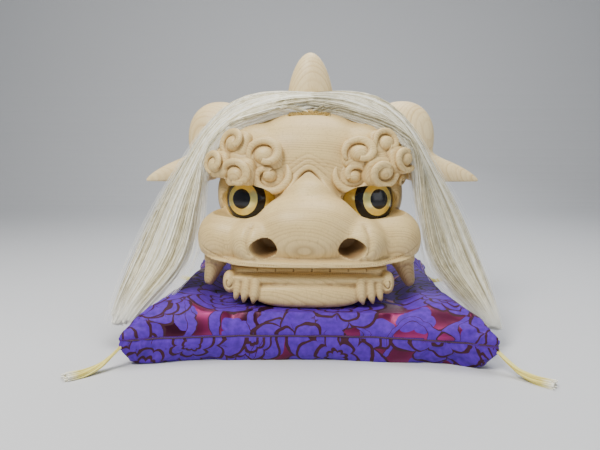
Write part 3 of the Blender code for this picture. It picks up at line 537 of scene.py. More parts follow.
def growth_rings():
    """Shader group: the wood's growth rings, cut through by the carving, with fibre and pores, painted shade
    in the hollows and a painted highlight on the edges.
    """
    group = bpy.data.node_groups.new("growth_rings", "ShaderNodeTree")
    face = group.interface
    face.new_socket("Place", in_out="INPUT", socket_type="NodeSocketVector")
    for name in ("Ring Width", "Waver", "Hollow"):
        face.new_socket(name, in_out="INPUT", socket_type="NodeSocketFloat")
    for name in ("Early Wood", "Late Wood", "Shadow Wood"):
        face.new_socket(name, in_out="INPUT", socket_type="NodeSocketColor")
    face.new_socket("Color", in_out="OUTPUT", socket_type="NodeSocketColor")
    face.new_socket("Roughness", in_out="OUTPUT", socket_type="NodeSocketFloat")
    face.new_socket("Height", in_out="OUTPUT", socket_type="NodeSocketFloat")
    start = group.nodes.new("NodeGroupInput").outputs
    end = group.nodes.new("NodeGroupOutput").inputs
    drift = noise(group, start["Place"], 9.0, 3.0, 0.45)
    flat = vector_step(group, "MULTIPLY", start["Place"], (1.0, 1.0, 0.10))[0]
    radius = vector_step(group, "LENGTH", flat)["Value"]
    rings = plus(group, calc(group, "DIVIDE", radius, start["Ring Width"]),
                 mult(group, less(group, drift, 0.5), start["Waver"]))
    year = calc(group, "FLOOR", rings)
    season = less(group, rings, year)
    vigour = add_node(group, "ShaderNodeTexWhiteNoise", {"W": year}, noise_dimensions="1D").outputs["Value"]
    late = ramp(group, season, [(0.0, 0.55), (0.10, 0.05), (0.55, 0.12), (0.86, 0.75), (0.95, 1.0),
                                (1.0, 0.55)])
    late = mult(group, late, plus(group, mult(group, vigour, 0.75), 0.25))
    along = vector_step(group, "MULTIPLY", start["Place"], (1.0, 1.0, 0.045))[0]
    fibre = noise(group, along, 900.0, 2.0, 0.6)
    pores = noise(group, along, 420.0, 1.0, 0.5)
    pores = ramp(group, pores, [(0.0, 0.0), (0.60, 0.0), (0.72, 1.0)])
    cloud = noise(group, start["Place"], 26.0, 3.0, 0.55)
    cloud = ramp(group, cloud, [(0.30, 0.0), (0.70, 1.0)])
    tone = mixed(group, mult(group, late, 0.78), start["Early Wood"], start["Late Wood"])
    tone = mixed(group, mult(group, cloud, 0.30), tone, start["Late Wood"])
    tone = mixed(group, mult(group, less(group, fibre, 0.35), 0.70), tone, start["Late Wood"])
    tone = mixed(group, mult(group, pores, 0.18), tone, start["Shadow Wood"])
    # Painted shade: the hollows are mixed toward the shadow tone, darkest in the deepest creases.
    deep = ramp(group, start["Hollow"], [(0.02, 0.0), (0.20, 0.45), (0.7, 1.0)])
    tone = mixed(group, mult(group, deep, 0.80), tone, start["Shadow Wood"])
    # Painted highlight: convex edges are mixed toward a pale gold tone.
    edge_highlight = ramp(group, mult(group, start["Hollow"], -1.0), [(0.05, 0.0), (0.6, 1.0)])
    tone = mixed(group, mult(group, edge_highlight, 0.20), tone, (0.93, 0.78, 0.44))
    group.links.new(tone, end["Color"])
    rough = plus(group, mult(group, late, -0.07), mult(group, fibre, 0.20))
    rough = plus(group, rough, plus(group, mult(group, deep, 0.20), 0.37))
    group.links.new(rough, end["Roughness"])
    height = plus(group, mult(group, fibre, 0.5), mult(group, late, 0.5))
    group.links.new(less(group, height, mult(group, pores, 0.6)), end["Height"])
    return group


GROWTH_RINGS = growth_rings()
# Early wood, late wood, and a dark tone used for the pores and for the painted shade in the hollows.
CARVED_TONES = ((0.79, 0.60, 0.275), (0.45, 0.285, 0.105), (0.16, 0.070, 0.022))
PALE_TONES = ((0.90, 0.74, 0.42), (0.58, 0.38, 0.15), (0.32, 0.18, 0.07))


def bare_wood(name, tones, ring_width, pith, waver, tilt):
    """Bare, finely cut wood, its rings centred on a pith behind the block."""
    material, tree, shader = new_material(name, 0.45)
    place = object_place(tree)
    turn = add_node(tree, "ShaderNodeMapping", {"Vector": place, "Location": [-v for v in pith],
                                                "Rotation": tilt})
    hollow = attribute(tree, "hollow")
    grain = add_node(tree, "ShaderNodeGroup", node_tree=GROWTH_RINGS)
    for key, value in (("Place", turn.outputs[0]), ("Hollow", hollow)):
        tree.links.new(value, grain.inputs[key])
    grain.inputs["Ring Width"].default_value = ring_width
    grain.inputs["Waver"].default_value = waver
    for key, value in zip(("Early Wood", "Late Wood", "Shadow Wood"), tones):
        grain.inputs[key].default_value = (*value, 1.0)
    tree.links.new(grain.outputs["Color"], shader.inputs["Base Color"])
    tree.links.new(grain.outputs["Roughness"], shader.inputs["Roughness"])
    bump = add_node(tree, "ShaderNodeBump", {"Height": grain.outputs["Height"], "Strength": 0.10,
                                             "Distance": 0.0006})
    tree.links.new(bump.outputs[0], shader.inputs["Normal"])
    shader.inputs["Specular IOR Level"].default_value = 0.42
    return material


jaw_wood = bare_wood("carved_wood_jaw", CARVED_TONES, 0.0021, (0.05, 0.38, 0.0), 5.0, (-0.45, 0.04, 0.0))
placed("carved_jaw", jaw_mesh, jaw_wood, "base", ["jaw"])

# Jaw pins.
# Two brass pins hold the head to the jaw's arms and let it tip; they are turned rod, dull with age.
brass, tree, shader = new_material("pin_brass", 0.38)
place = object_place(tree)
tarnish = noise(tree, place, 260.0, 4.0)
tree.links.new(ramp(tree, tarnish, [(0.35, (0.45, 0.33, 0.14)), (0.65, (0.72, 0.55, 0.27))]),
               shader.inputs["Base Color"])
tree.links.new(ramp(tree, tarnish, [(0.35, 0.52), (0.65, 0.26)]), shader.inputs["Roughness"])
shader.inputs["Metallic"].default_value = 1.0
for name in ("jaw_pin_left", "jaw_pin_right"):
    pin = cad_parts[name]
    for k in range(max(1, len(pin.material_slots))):
        if not pin.material_slots:
            pin.data.materials.append(brass)
        pin.material_slots[k].material = brass

# Head.
# The head is carved from one block: skull, brow of coiled curls, snout, cheeks with their thin
# lip, upper teeth and fangs, hollowed from below and behind. Bare wood, finely cut and rubbed.
HEAD_HALF_WIDTH = 0.139
HEAD_DEPTH = 0.314
HEAD_HEIGHT = 0.213
REAR_RIM_Y = 0.142
HEAD_VOXEL = 0.00112
FANG_WIDEST = 0.0155
FANG_CLEARANCE = 0.0016
SIDE_CLEARANCE = 0.0015
SLOT_Y = -0.072
SLOT_TILT = math.radians(32)
SLOT_HALF_WIDTH = 0.027
SLOT_HALF_LENGTH = 0.006
SLOT_DEPTH = 0.012
NOSTRIL_HALF_WIDTH = 0.0145
NOSTRIL_HALF_HEIGHT = 0.0118
NOSTRIL_PLACE = (0.050, TEETH_FRONT_Y - 0.0145, 0.1318)
NOSTRIL_TURN = (("Y", -16), ("Z", 14), ("X", 26 - 90))


def head_place(across, along, up):
    """A point of the head from shares of its half width, its depth from the rear rim, and its height."""
    return Vector((across * HEAD_HALF_WIDTH, REAR_RIM_Y - along * HEAD_DEPTH, MOUTH_Z + up * HEAD_HEIGHT))


def head_lumps(rows):
    meshes = []
    for name, across, along, up, wide, deep, tall, power, tip in rows:
        radii = (wide * HEAD_HALF_WIDTH, deep * HEAD_DEPTH, tall * HEAD_HEIGHT)
        part = lump(head_place(across, along, up), radii, power, (math.radians(tip), 0, 0))
        meshes += both_sides(part) if across else [part]
    return meshes


MAIN_FORMS = [
    # name, across, along, up, wide, deep, tall, power, tip
    ("skull", 0.00, 0.31, 0.30, 0.90, 0.500, 0.715, 2.8, 0),
    ("forehead", 0.00, 0.62, 0.56, 0.66, 0.200, 0.33, 2.3, 0),
    ("temple", 0.50, 0.56, 0.60, 0.34, 0.24, 0.27, 2.3, 0),
    ("bridge", 0.00, 0.79, 0.32, 0.28, 0.130, 0.20, 2.0, 35),
    ("snout", 0.00, 0.84, 0.21, 0.49, 0.170, 0.205, 2.2, 0),
    ("muzzle", 0.00, 0.72, 0.08, 0.84, 0.240, 0.17, 2.6, 0),
    ("cheek", 0.70, 0.745, 0.145, 0.32, 0.170, 0.180, 2.2, 0),
    ("nostril wing", 0.45, 0.885, 0.145, 0.23, 0.108, 0.140, 2.0, 0),
]
FINE_FORMS = [
    ("cheek lip", 0.66, 0.745, 0.035, 0.345, 0.176, 0.045, 2.4, 0),
    ("middle lip", 0.00, 0.780, 0.035, 0.78, 0.215, 0.040, 3.0, 0),
]
FANG = [
    (0.840, 0.755, 0.110, 1.00),
    (0.865, 0.760, 0.000, 0.86),
    (0.900, 0.768, -0.075, 0.62),
    (0.925, 0.776, -0.125, 0.40),
    (0.935, 0.779, -0.140, 0.20),
]


def head_strip(rows, widest, extra=0.0):
    points = [head_place(across, along, up) for across, along, up, share in rows]
    return strip(points, [share * widest + extra for across, along, up, share in rows])


def lip_height(x, y):
    """Height of the head's lower edge: lowest in front, up at the cheek corners, down to the rear."""
    side = min(1.0, max(0.0, (abs(x) - 0.60 * HEAD_HALF_WIDTH) / (0.40 * HEAD_HALF_WIDTH)))
    rear = min(1.0, max(0.0, (y - PIVOT_Y + 0.12) / 0.08))
    return MOUTH_Z + (0.005 + 0.010 * side ** 1.5) * (1 - rear) - 0.004 * rear


soft = shaped(head_lumps(MAIN_FORMS), HEAD_VOXEL, round(24 * (0.003 / HEAD_VOXEL) ** 2))
crisp = head_lumps(FINE_FORMS) + both_sides(head_strip(FANG, FANG_WIDEST))
crisp += both_sides(lump((0.1085, -0.046, 0.188), (0.0150, 0.034, 0.030), 2.3))
head_mesh = shaped([soft] + crisp, HEAD_VOXEL, 1)

rings = []
for scale, on_lip in ((1.0, False), (1.004, True), (1.18, True), (1.5, True), (2.0, True)):
    rings.append([(x * scale, y * scale, lip_height(x * scale, y * scale) if on_lip else MOUTH_Z)
                  for x, y in mouth_outline(TEETH_HALF_WIDTH, TEETH_FRONT_Y)])
rings.append([(x, y, -0.05) for x, y, z in rings[-1]])
below = cut_away(loft(rings), both_sides(head_strip(FANG, FANG_WIDEST, FANG_CLEARANCE)))
palate = loft([[(x * share, y * share, z) for x, y in inner]
               for z, share in ((0.0, 1.0), (0.124, 1.0), (0.134, 0.96), (0.140, 0.86))])
skull_hollow = head_lumps([("crown hollow", 0.00, 0.134, 0.30, 0.80, 0.500, 0.630, 3.2, 0)])[0]
EYE_RADIUS = 0.036
EYE_CENTRE = Vector((0.0725, -0.071, 0.181))
EYE_TURN = math.radians(25)
eye_axis = Vector((math.sin(EYE_TURN), -math.cos(EYE_TURN), 0.0))
socket = lump(EYE_CENTRE, [EYE_RADIUS + 0.0004] * 3)
lids = lump(EYE_CENTRE + Vector((0.010, -0.036, -0.001)), (0.044, 0.034, 0.0215), 2.4, (0, 0, EYE_TURN * 0.7))
nostril = rod((0, 0, -0.035), (0, 0, 0.021), 1.0)
nostril_turn = Matrix.Translation(NOSTRIL_PLACE)
for axis, angle in NOSTRIL_TURN:
    nostril_turn = nostril_turn @ Matrix.Rotation(math.radians(angle), 4, axis)
nostril.transform(nostril_turn @ Matrix.Diagonal((NOSTRIL_HALF_WIDTH, NOSTRIL_HALF_HEIGHT, 1.0, 1.0)))
inside = JAW_ARM_OUTER_X + SIDE_CLEARANCE
arm_space = box((-inside, jaw_place(0, 0.30, 0).y, 0.0), (inside, 0.222, PIVOT_Z + 2 * JAW_ARM_RADIUS))
crown_z = surface_of(head_mesh).ray_cast(Vector((0, SLOT_Y, 1.0)), Vector((0, 0, -1)))[0].z
slot_turn = Matrix.Translation((0, SLOT_Y, crown_z)) @ Matrix.Rotation(SLOT_TILT, 4, "X")
slot = box((-SLOT_HALF_WIDTH, -SLOT_HALF_LENGTH, -SLOT_DEPTH),
           (SLOT_HALF_WIDTH, SLOT_HALF_LENGTH, SLOT_DEPTH))
slot.transform(slot_turn)
head_mesh = cut_away(head_mesh, [
    below, skull_hollow, arm_space, palate, box((-BEYOND, REAR_RIM_Y, 0.0), (BEYOND, REAR_RIM_Y + 0.2, 0.5)),
    *both_sides(socket), *both_sides(lids), *both_sides(nostril), *both_sides(pin_hole), slot])
head_mesh = shaped([head_mesh], HEAD_VOXEL, 2)

surface = surface_of(head_mesh)
grooves = []
FOREHEAD_FOLDS = [
    # up, spread, fall, groove depth and half width, lift and half width of the fold above it
    (0.541, 0.185, 0.105, 0.0042, 0.0012, 0.0010, 0.0060),
    (0.580, 0.190, 0.085, 0.0007, 0.0013, 0.0002, 0.0034),
    (0.608, 0.200, 0.080, 0.0005, 0.0013, 0.0002, 0.0034),
    (0.636, 0.205, 0.074, 0.0004, 0.0013, 0.0001, 0.0034),
]
for up, spread, fall, depth, half_width, lift, lift_width in FOREHEAD_FOLDS:
    line = []
    for k in range(21):
        share = 2 * k / 20 - 1
        bow = (math.sqrt(share * share + 0.09) - 0.3) / (math.sqrt(1.09) - 0.3)
        place = head_place(share * spread, 0.0, up - fall * bow)
        line.append((place.x, place.z))
    grooves.append((front_line(surface, line, 6), half_width, depth))
    grooves.append((front_line(surface, [(x, z + 0.0046) for x, z in line], 6), lift_width, -lift))
for k in range(-3, 4):
    x = TOOTH_START + k * TOOTH_PITCH
    grooves.append((front_line(surface, [(x, 0.1042), (x, 0.1056), (x, 0.1070)], 4), *TOOTH_GROOVE))
for side in (-1, 1):
    lip = [(side * x, z) for x, z in ((0.020, 0.1115), (0.045, 0.1115), (0.068, 0.1120), (0.090, 0.1140),
                                      (0.110, 0.1185), (0.126, 0.1255), (0.135, 0.1340))]
    grooves.append((front_line(surface, lip), 0.0012, 0.0010))
    crease = [(side * x, z) for x, z in ((0.0640, 0.1600), (0.0690, 0.1500), (0.0715, 0.1390),
                                         (0.0700, 0.1280), (0.0650, 0.1200))]
    grooves.append((front_line(surface, crease), 0.0042, 0.0030))
head_mesh = marked(lightened(scribed(head_mesh, grooves), 190000), 0.0013)
points = vertex_array(head_mesh)
hollow = np.zeros(len(points), dtype=np.float32)
head_mesh.attributes["hollow"].data.foreach_get("value", hollow)
# Painted shade: the inside of each nostril bore is marked hollow, deeper in darker, so the wood shader paints
# it dark.
for side in (-1, 1):
    with_ones = np.column_stack([points * (side, 1, 1), np.ones(len(points))])
    bored = np.array(nostril_turn.inverted()) @ with_ones.T
    inside_bore = np.hypot(bored[0] / NOSTRIL_HALF_WIDTH, bored[1] / NOSTRIL_HALF_HEIGHT) < 1.06
    inside_bore &= np.abs(bored[2]) < 0.046
    bore_shade = np.clip((bored[2][inside_bore] + 0.012) / 0.014, 0.0, 1.0)
    hollow[inside_bore] = np.maximum(hollow[inside_bore], bore_shade)
head_mesh.attributes["hollow"].data.foreach_set("value", hollow)
head_wood = bare_wood("carved_wood_head", CARVED_TONES, 0.0021, (0.03, 0.34, 0.0), 5.5, (-0.50, 0.05, 0.0))
placed("carved_head", head_mesh, head_wood, "head", ["head_shell"])

# Brow curls.
# The lion's brows are carved in the same block as coiled curls: each has a rolled rim that winds in to
# a domed boss. The inner lower one starts as a long comma beside the bridge of the nose.
CURL_RIM = [
    # share of the turn; reach, half width and height as shares of the curl's radius
    (0.00, 0.84, 0.07, 0.22), (0.10, 0.84, 0.16, 0.28), (0.28, 0.82, 0.21, 0.33), (0.48, 0.79, 0.240, 0.37),
    (0.66, 0.74, 0.250, 0.41), (0.82, 0.63, 0.240, 0.45), (1.00, 0.42, 0.22, 0.48),
]
COMMA_RIM = [
    (0.00, 1.34, 0.07, 0.10), (0.09, 1.24, 0.20, 0.18), (0.20, 1.17, 0.28, 0.26), (0.34, 1.08, 0.28, 0.31),
    (0.48, 0.96, 0.255, 0.35), (0.62, 0.84, 0.24, 0.39), (0.78, 0.68, 0.22, 0.43), (1.00, 0.40, 0.19, 0.47),
]
CURLS = [
    # place in the front view, radius, yaw, first angle, sweep, boss (share of the radius), the rim's table
    (0.0614, 0.2405, 0.0212, 0.30, 215, -300, 0.54, CURL_RIM),
    (0.0554, 0.2125, 0.0185, 0.15, 140, 425, 0.46, COMMA_RIM),
    (0.0896, 0.2180, 0.0212, 0.55, 35, -330, 0.53, CURL_RIM),
    (0.0921, 0.2530, 0.0192, 0.60, 200, -280, 0.55, CURL_RIM),
    (0.1153, 0.2330, 0.0196, 0.90, 25, -320, 0.54, CURL_RIM),
    (0.1165, 0.2110, 0.0113, 0.90, 60, -300, 0.55, CURL_RIM),
    (0.1160, 0.2560, 0.0119, 0.85, 190, -280, 0.55, CURL_RIM),
    (-0.0535, 0.2385, 0.0228, 0.25, 215, -310, 0.54, CURL_RIM),
    (-0.0475, 0.2120, 0.0192, 0.10, 41, -330, 0.46, COMMA_RIM),
    (-0.0871, 0.2165, 0.0214, 0.50, 205, -310, 0.54, CURL_RIM),
    (-0.0916, 0.2520, 0.0201, 0.60, 235, -270, 0.56, CURL_RIM),
    (-0.1148, 0.2270, 0.0188, 0.90, 235, -270, 0.56, CURL_RIM),
    (-0.1140, 0.2085, 0.0108, 0.90, 235, -270, 0.55, CURL_RIM),
    (-0.1165, 0.2520, 0.0124, 0.90, 120, -280, 0.55, CURL_RIM),
]
BROW_BANK = [
    # the raised ground under the curls: name, across, along, up, wide, deep, tall, power, tip
    ("front bank", 0.56, 0.730, 0.590, 0.200, 0.085, 0.105, 2.3, 0),
    ("side bank", 0.74, 0.680, 0.595, 0.170, 0.095, 0.110, 2.3, 0),
    ("rear bank", 0.82, 0.620, 0.600, 0.125, 0.090, 0.100, 2.2, 0),
]
bank = head_lumps(BROW_BANK)
soft_surface = surface_of(shaped([soft] + bank, 0.0018, 6))


def curl(x, z, radius, yaw, first, sweep, boss, table):
    """One curl on the brow: its low bed, the rim that winds in, and the boss in the middle."""
    spot, normal, _, _ = soft_surface.ray_cast(Vector((x, -0.6, z)), Vector((0, 1, 0)))
    if spot is None:
        spot, normal, _, _ = soft_surface.find_nearest(Vector((x, -0.090, z)))
    facing = Vector((math.copysign(math.sin(yaw), x), -math.cos(yaw), 0.25)).normalized()
    outwards = (normal * 0.45 + facing * 0.55).normalized()
    sideways = Vector((0, 0, 1)).cross(outwards).normalized()
    turn = Matrix((sideways, outwards.cross(sideways), outwards)).transposed().to_4x4()
    turn = turn @ Matrix.Diagonal((1.04, 0.90, 1.0, 1.0))
    bed = lump((0, 0, -0.28 * radius), (radius, radius, radius * 0.54), 3.4)
    rows = smooth_path([(share, radius * reach, radius * wide, radius * high)
                        for share, reach, wide, high in table], 5)
    angles = np.radians(first + sweep * rows[:, 0])
    rim = strip([(row[1] * math.cos(a), row[1] * math.sin(a), row[3]) for row, a in zip(rows, angles)],
                [row[2] for row in rows], 0.72, 14, 2, (0, 0, 1))
    ending = math.radians(first + sweep)
    knob = lump((0.06 * radius * math.cos(ending), 0.06 * radius * math.sin(ending), 0.10 * radius),
                (radius * boss, radius * boss, radius * 0.56), 2.2)
    for mesh in (bed, rim, knob):
        mesh.transform(Matrix.Translation(spot) @ turn)
    return [bed, rim, knob]


brow_trees = {}
for side, name in ((-1, "left"), (1, "right")):
    parts = [part for row in CURLS if row[0] * side > 0 for part in curl(*row)]
    parts += [mesh for mesh in bank if vertex_array(mesh)[:, 0].mean() * side > 0]
    brow_mesh = shaped(parts, 0.00075, 2)
    near_side = [mesh if side > 0 else mirrored(mesh) for mesh in (socket, lids)]
    brow_mesh = cut_away(brow_mesh, near_side + [skull_hollow])
    brow_mesh = marked(lightened(brow_mesh, 130000), 0.00065)
    brow_trees[side] = surface_of(brow_mesh if side > 0 else mirrored(brow_mesh))
    placed(f"carved_brow_{name}", brow_mesh, head_wood, "head", [])

# Eyes.
# Each eye is a turned wooden ball, gilded with leaf; its pupil and outer ring are brushed on in
# black lacquer. It is set into the socket from inside the head.
PUPIL_ANGLE = 20.5
RING_INNER_ANGLE = 35.0
RING_OUTER_ANGLE = 52.0
BRUSH_EDGE = 0.4
EYE_BACK = 0.010
LOOK_UP = 0.085
LOOK_TURN = {-1: 3.5, 1: 2.0}

gilt, tree, shader = new_material("gilt_eye", 0.2)
gaze = attribute(tree, "gaze")
place = object_place(tree)
waver = noise(tree, place, 210.0, 2.0)
gaze = plus(tree, gaze, mult(tree, less(tree, waver, 0.5), 0.8))


def beyond_angle(tree, value, angle):
    """1 beyond an angle from the eye's axis, with a soft brushed edge."""
    return add_node(tree, "ShaderNodeMapRange", {"Value": value, "From Min": angle - BRUSH_EDGE,
                                                 "From Max": angle + BRUSH_EDGE},
                    interpolation_type="SMOOTHSTEP").outputs["Result"]


pupil = less(tree, 1.0, beyond_angle(tree, gaze, PUPIL_ANGLE))
ring = less(tree, beyond_angle(tree, gaze, RING_INNER_ANGLE), beyond_angle(tree, gaze, RING_OUTER_ANGLE))
black = calc(tree, "MINIMUM", plus(tree, pupil, ring), 1.0)
leaf = noise(tree, place, 95.0, 5.0, 0.65)
gold = ramp(tree, leaf, [(0.30, (1.0, 0.80, 0.22)), (0.50, (1.0, 0.88, 0.32)), (0.72, (1.0, 0.95, 0.48))])
tree.links.new(mixed(tree, black, gold, (0.006, 0.006, 0.008)), shader.inputs["Base Color"])
tree.links.new(less(tree, 1.0, black), shader.inputs["Metallic"])
rough = ramp(tree, leaf, [(0.3, 0.38), (0.7, 0.26)])
tree.links.new(less(tree, rough, mult(tree, black, 0.13)), shader.inputs["Roughness"])
bump = add_node(tree, "ShaderNodeBump", {"Height": plus(tree, mult(tree, leaf, 0.35), black),
                                         "Strength": 0.35, "Distance": 0.0003})
tree.links.new(bump.outputs[0], shader.inputs["Normal"])

for side, name in ((-1, "left"), (1, "right")):
    axis = Vector((side * eye_axis.x, eye_axis.y, 0.0))
    centre = Vector((side * EYE_CENTRE.x, EYE_CENTRE.y, EYE_CENTRE.z))
    look = Matrix.Rotation(math.radians(LOOK_TURN[side]), 3, "Z") @ (axis + Vector((0, 0, LOOK_UP)))
    bm = bmesh.new()
    bmesh.ops.create_uvsphere(bm, u_segments=96, v_segments=90, radius=EYE_RADIUS)
    mesh = finished(bm, "eye")
    polar = np.degrees(np.arccos(np.clip(vertex_array(mesh)[:, 2] / EYE_RADIUS, -1.0, 1.0)))
    mesh.attributes.new("gaze", "FLOAT", "POINT").data.foreach_set("value", polar.astype(np.float32))
    turn = look.to_track_quat("Z", "Y").to_matrix().to_4x4()
    mesh.transform(Matrix.Translation(centre) @ turn)
    bm = bmesh.new()
    bm.from_mesh(mesh)
    cutting = bmesh.ops.bisect_plane(bm, geom=bm.verts[:] + bm.edges[:] + bm.faces[:], plane_no=-axis,
                                     plane_co=centre - axis * EYE_BACK, clear_outer=True)
    rim = [item for item in cutting["geom_cut"] if isinstance(item, bmesh.types.BMEdge)]
    bmesh.ops.contextual_create(bm, geom=rim)
    bm.to_mesh(mesh)
    bm.free()
    mesh.polygons.foreach_set("use_smooth", [len(p.vertices) < 5 for p in mesh.polygons])
    placed(f"gilt_eye_{name}", mesh, gilt, "head", [f"eye_{name}"])

# Horn.
# The horn is a plain rounded peg of paler wood, doweled into the crown behind the mane's slot.
HORN_RADII = (0.033, 0.024, 0.078)
HORN_PLACE = (0, -0.010, MOUTH_Z + HEAD_HEIGHT - 0.016)
horn_wood = bare_wood("pale_wood_horn", PALE_TONES, 0.0028, (0.022, 0.115, 0.28), 1.8, (-0.16, 0.08, 0.0))
horn_mesh = lump(HORN_PLACE, HORN_RADII, 1.9, (math.radians(6), 0, 0), 6)
horn_mesh = marked(cut_away(horn_mesh, [box((-0.1, -0.1, 0.1), (0.1, 0.1, crown_z - 0.010))]), 0.002, 2)
placed("carved_horn", horn_mesh, horn_wood, "head", ["horn"])

# Ears.
# The ears are carved apart from the head in the same pale wood as the horn: a round lobe against
# the temple that runs out into a drooping, thin-edged tip. They are pegged on and do not move.
EAR_REACH = 0.240
EAR_TOP_Z = 0.314
EAR_HEIGHT = 0.104
EAR_HALF_WIDTH = 0.046
EAR_THICKNESS = 0.060
EAR_VOXEL = 0.0014
EAR_TIP = [
    # reach, down, radius, as shares of the ear's reach, height and half width
    (0.60, 0.80, 0.60),
    (0.72, 0.915, 0.47),
    (0.84, 0.985, 0.36),
    (0.93, 1.03, 0.22),
    (0.995, 1.06, 0.05),
]
ear_wood = bare_wood("pale_wood_ear", PALE_TONES, 0.0032, (0.0, 0.25, 0.2), 3.6, (0.05, 0.2, 0.0))
lobe = lump((0.535 * EAR_REACH, 0.0, EAR_TOP_Z - 0.49 * EAR_HEIGHT),
            (EAR_HALF_WIDTH, EAR_THICKNESS / 2, EAR_HEIGHT / 2), 2.2)
tip_line = [(reach * EAR_REACH, -0.02 * reach * EAR_REACH, EAR_TOP_Z - down * EAR_HEIGHT)
            for reach, down, radius in EAR_TIP]
tip = strip(tip_line, [radius * EAR_HALF_WIDTH for reach, down, radius in EAR_TIP], 0.9)
under_tip = box((0.62 * EAR_REACH, -0.1, 0.0), (0.3, 0.1, EAR_TOP_Z - 1.072 * EAR_HEIGHT))
ear_mesh = shaped([cut_away(shaped([lobe, tip], EAR_VOXEL, 36), [under_tip])], EAR_VOXEL, 8)
ear_mesh = marked(lightened(ear_mesh, 60000), 0.002, 6)
for side, name in ((-1, "left"), (1, "right")):
    mesh = ear_mesh if side > 0 else mirrored(ear_mesh)
    mesh.polygons.foreach_set("use_smooth", [True] * len(mesh.polygons))
    placed(f"carved_ear_{name}", mesh, ear_wood, "head", [f"ear_{name}"])

# Cushion.
# A square floor cushion of satin damask, sewn from an upper and a lower panel with a corded seam at
# half height, stuffed firm. The jaw presses its crown down; its underside lies flat.
CUSHION_HALF = 0.200
CUSHION_HEIGHT = 0.066
SEAM_Z = 0.033
SWELL = 0.0045
CLOTH_VOXEL = 0.0055
EDGE_ROUND = 0.036
CORNER_REACH = 0.019
SIDE_PULL = 0.011
CELLS = 40
CLOTH = {"quality": 4, "use_pressure": True, "uniform_pressure_force": 4.0, "tension_stiffness": 22.0,
         "compression_stiffness": 12.0, "shear_stiffness": 6.0, "bending_stiffness": 0.25,
         "shrink_min": -0.03}
CLOTH_STEPS = 20
MOST_SWELL = 0.010


def cushion_start():
    """The stuffed form before it swells: a square pad with full edges, drawn in by the swell."""
    bm = bmesh.new()
    steps = [math.sin(math.pi / 2 * (2 * k / CELLS - 1)) for k in range(CELLS + 1)]
    half, rise = CUSHION_HALF - SWELL, CUSHION_HEIGHT - SEAM_Z - SWELL

    def place(u, v, top):
        ends = [1 - min(1.0, half * (1 - abs(w)) / EDGE_ROUND) for w in (u, v)]
        edge = math.sqrt(max(0.0, 1 - ends[0] ** 2.4)) * math.sqrt(max(0.0, 1 - ends[1] ** 2.4))
        x = half * u * (1 - SIDE_PULL * (1 - v * v))
        y = half * v * (1 - SIDE_PULL * (1 - u * u))
        if top:
            return x, y, SEAM_Z + 0.0008 + rise * edge * (1 - 0.16 * (u * u + v * v) / 2)
        return x, y, SEAM_Z - 0.0008 - (SEAM_Z - SWELL * 0.6) * min(1.0, 2.3 * edge)

    sheets = []
    for top in (True, False):
        verts = {(i, j): bm.verts.new(place(u, v, top))
                 for i, u in enumerate(steps) for j, v in enumerate(steps)}
        sheets.append(verts)
        for i in range(CELLS):
            for j in range(CELLS):
                ring = [verts[i, j], verts[i + 1, j], verts[i + 1, j + 1], verts[i, j + 1]]
                bm.faces.new(ring if top else list(reversed(ring)))
    upper, lower = sheets
    rim = [(i, 0) for i in range(CELLS)] + [(CELLS, j) for j in range(CELLS)]
    rim += [(i, CELLS) for i in range(CELLS, 0, -1)] + [(0, j) for j in range(CELLS, 0, -1)]
    for a, b in zip(rim, rim[1:] + rim[:1]):
        bm.faces.new((lower[a], lower[b], upper[b], upper[a]))
    bmesh.ops.recalc_face_normals(bm, faces=bm.faces)
    return finished(bm, "cushion_start")


def pressed(points):
    """Keeps the crown under the jaw, the underside on the floor, and the rest under a ceiling just above the
    cushion's height.
    """
    x, y, z = points.T
    away = np.maximum(np.abs(x) / (TEETH_HALF_WIDTH * 1.18), np.abs(y + 0.028) / 0.150)
    ease = np.clip((away - 0.92) / 0.30, 0.0, 1.0)
    ceiling = JAW_BOTTOM_Z - 0.0006 + (CUSHION_HEIGHT + 0.004 - JAW_BOTTOM_Z) * ease * ease * (3 - 2 * ease)
    points[:, 2] = np.clip(z, 0.0004, ceiling)
    return points


cushion_mesh = shaped([cushion_start()], CLOTH_VOXEL, 1)
cushion = new_object("damask_cushion", cushion_mesh)
start = vertex_array(cushion.data)
cloth = cushion.modifiers.new("Cloth", "CLOTH")
for key, value in CLOTH.items():
    setattr(cloth.settings, key, value)
cloth.settings.effector_weights.gravity = 0.0
cloth.collision_settings.use_collision = False
for step in range(1, CLOTH_STEPS + 1):
    bpy.context.scene.frame_set(step)
swollen = plain_mesh(cushion)
bpy.context.scene.frame_set(1)
moved = vertex_array(swollen) - start
length = np.linalg.norm(moved, axis=1, keepdims=True)
moved *= np.minimum(1.0, MOST_SWELL / np.maximum(length, 1e-9))
swollen.vertices.foreach_set("co", (start + moved).ravel())
cushion = new_object("damask_cushion", swollen)
points = pressed(vertex_array(cushion.data))
corner = (np.abs(points[:, 0]) / CUSHION_HALF * np.abs(points[:, 1]) / CUSHION_HALF)[:, None] ** 5
points[:, :2] += np.sign(points[:, :2]) * CORNER_REACH * np.clip(corner, 0, 1.2)
cushion.data.vertices.foreach_set("co", points.ravel())
finer = cushion.modifiers.new("Subdivision", "SUBSURF")
finer.levels = finer.render_levels = 1
cushion_mesh = plain_mesh(cushion)

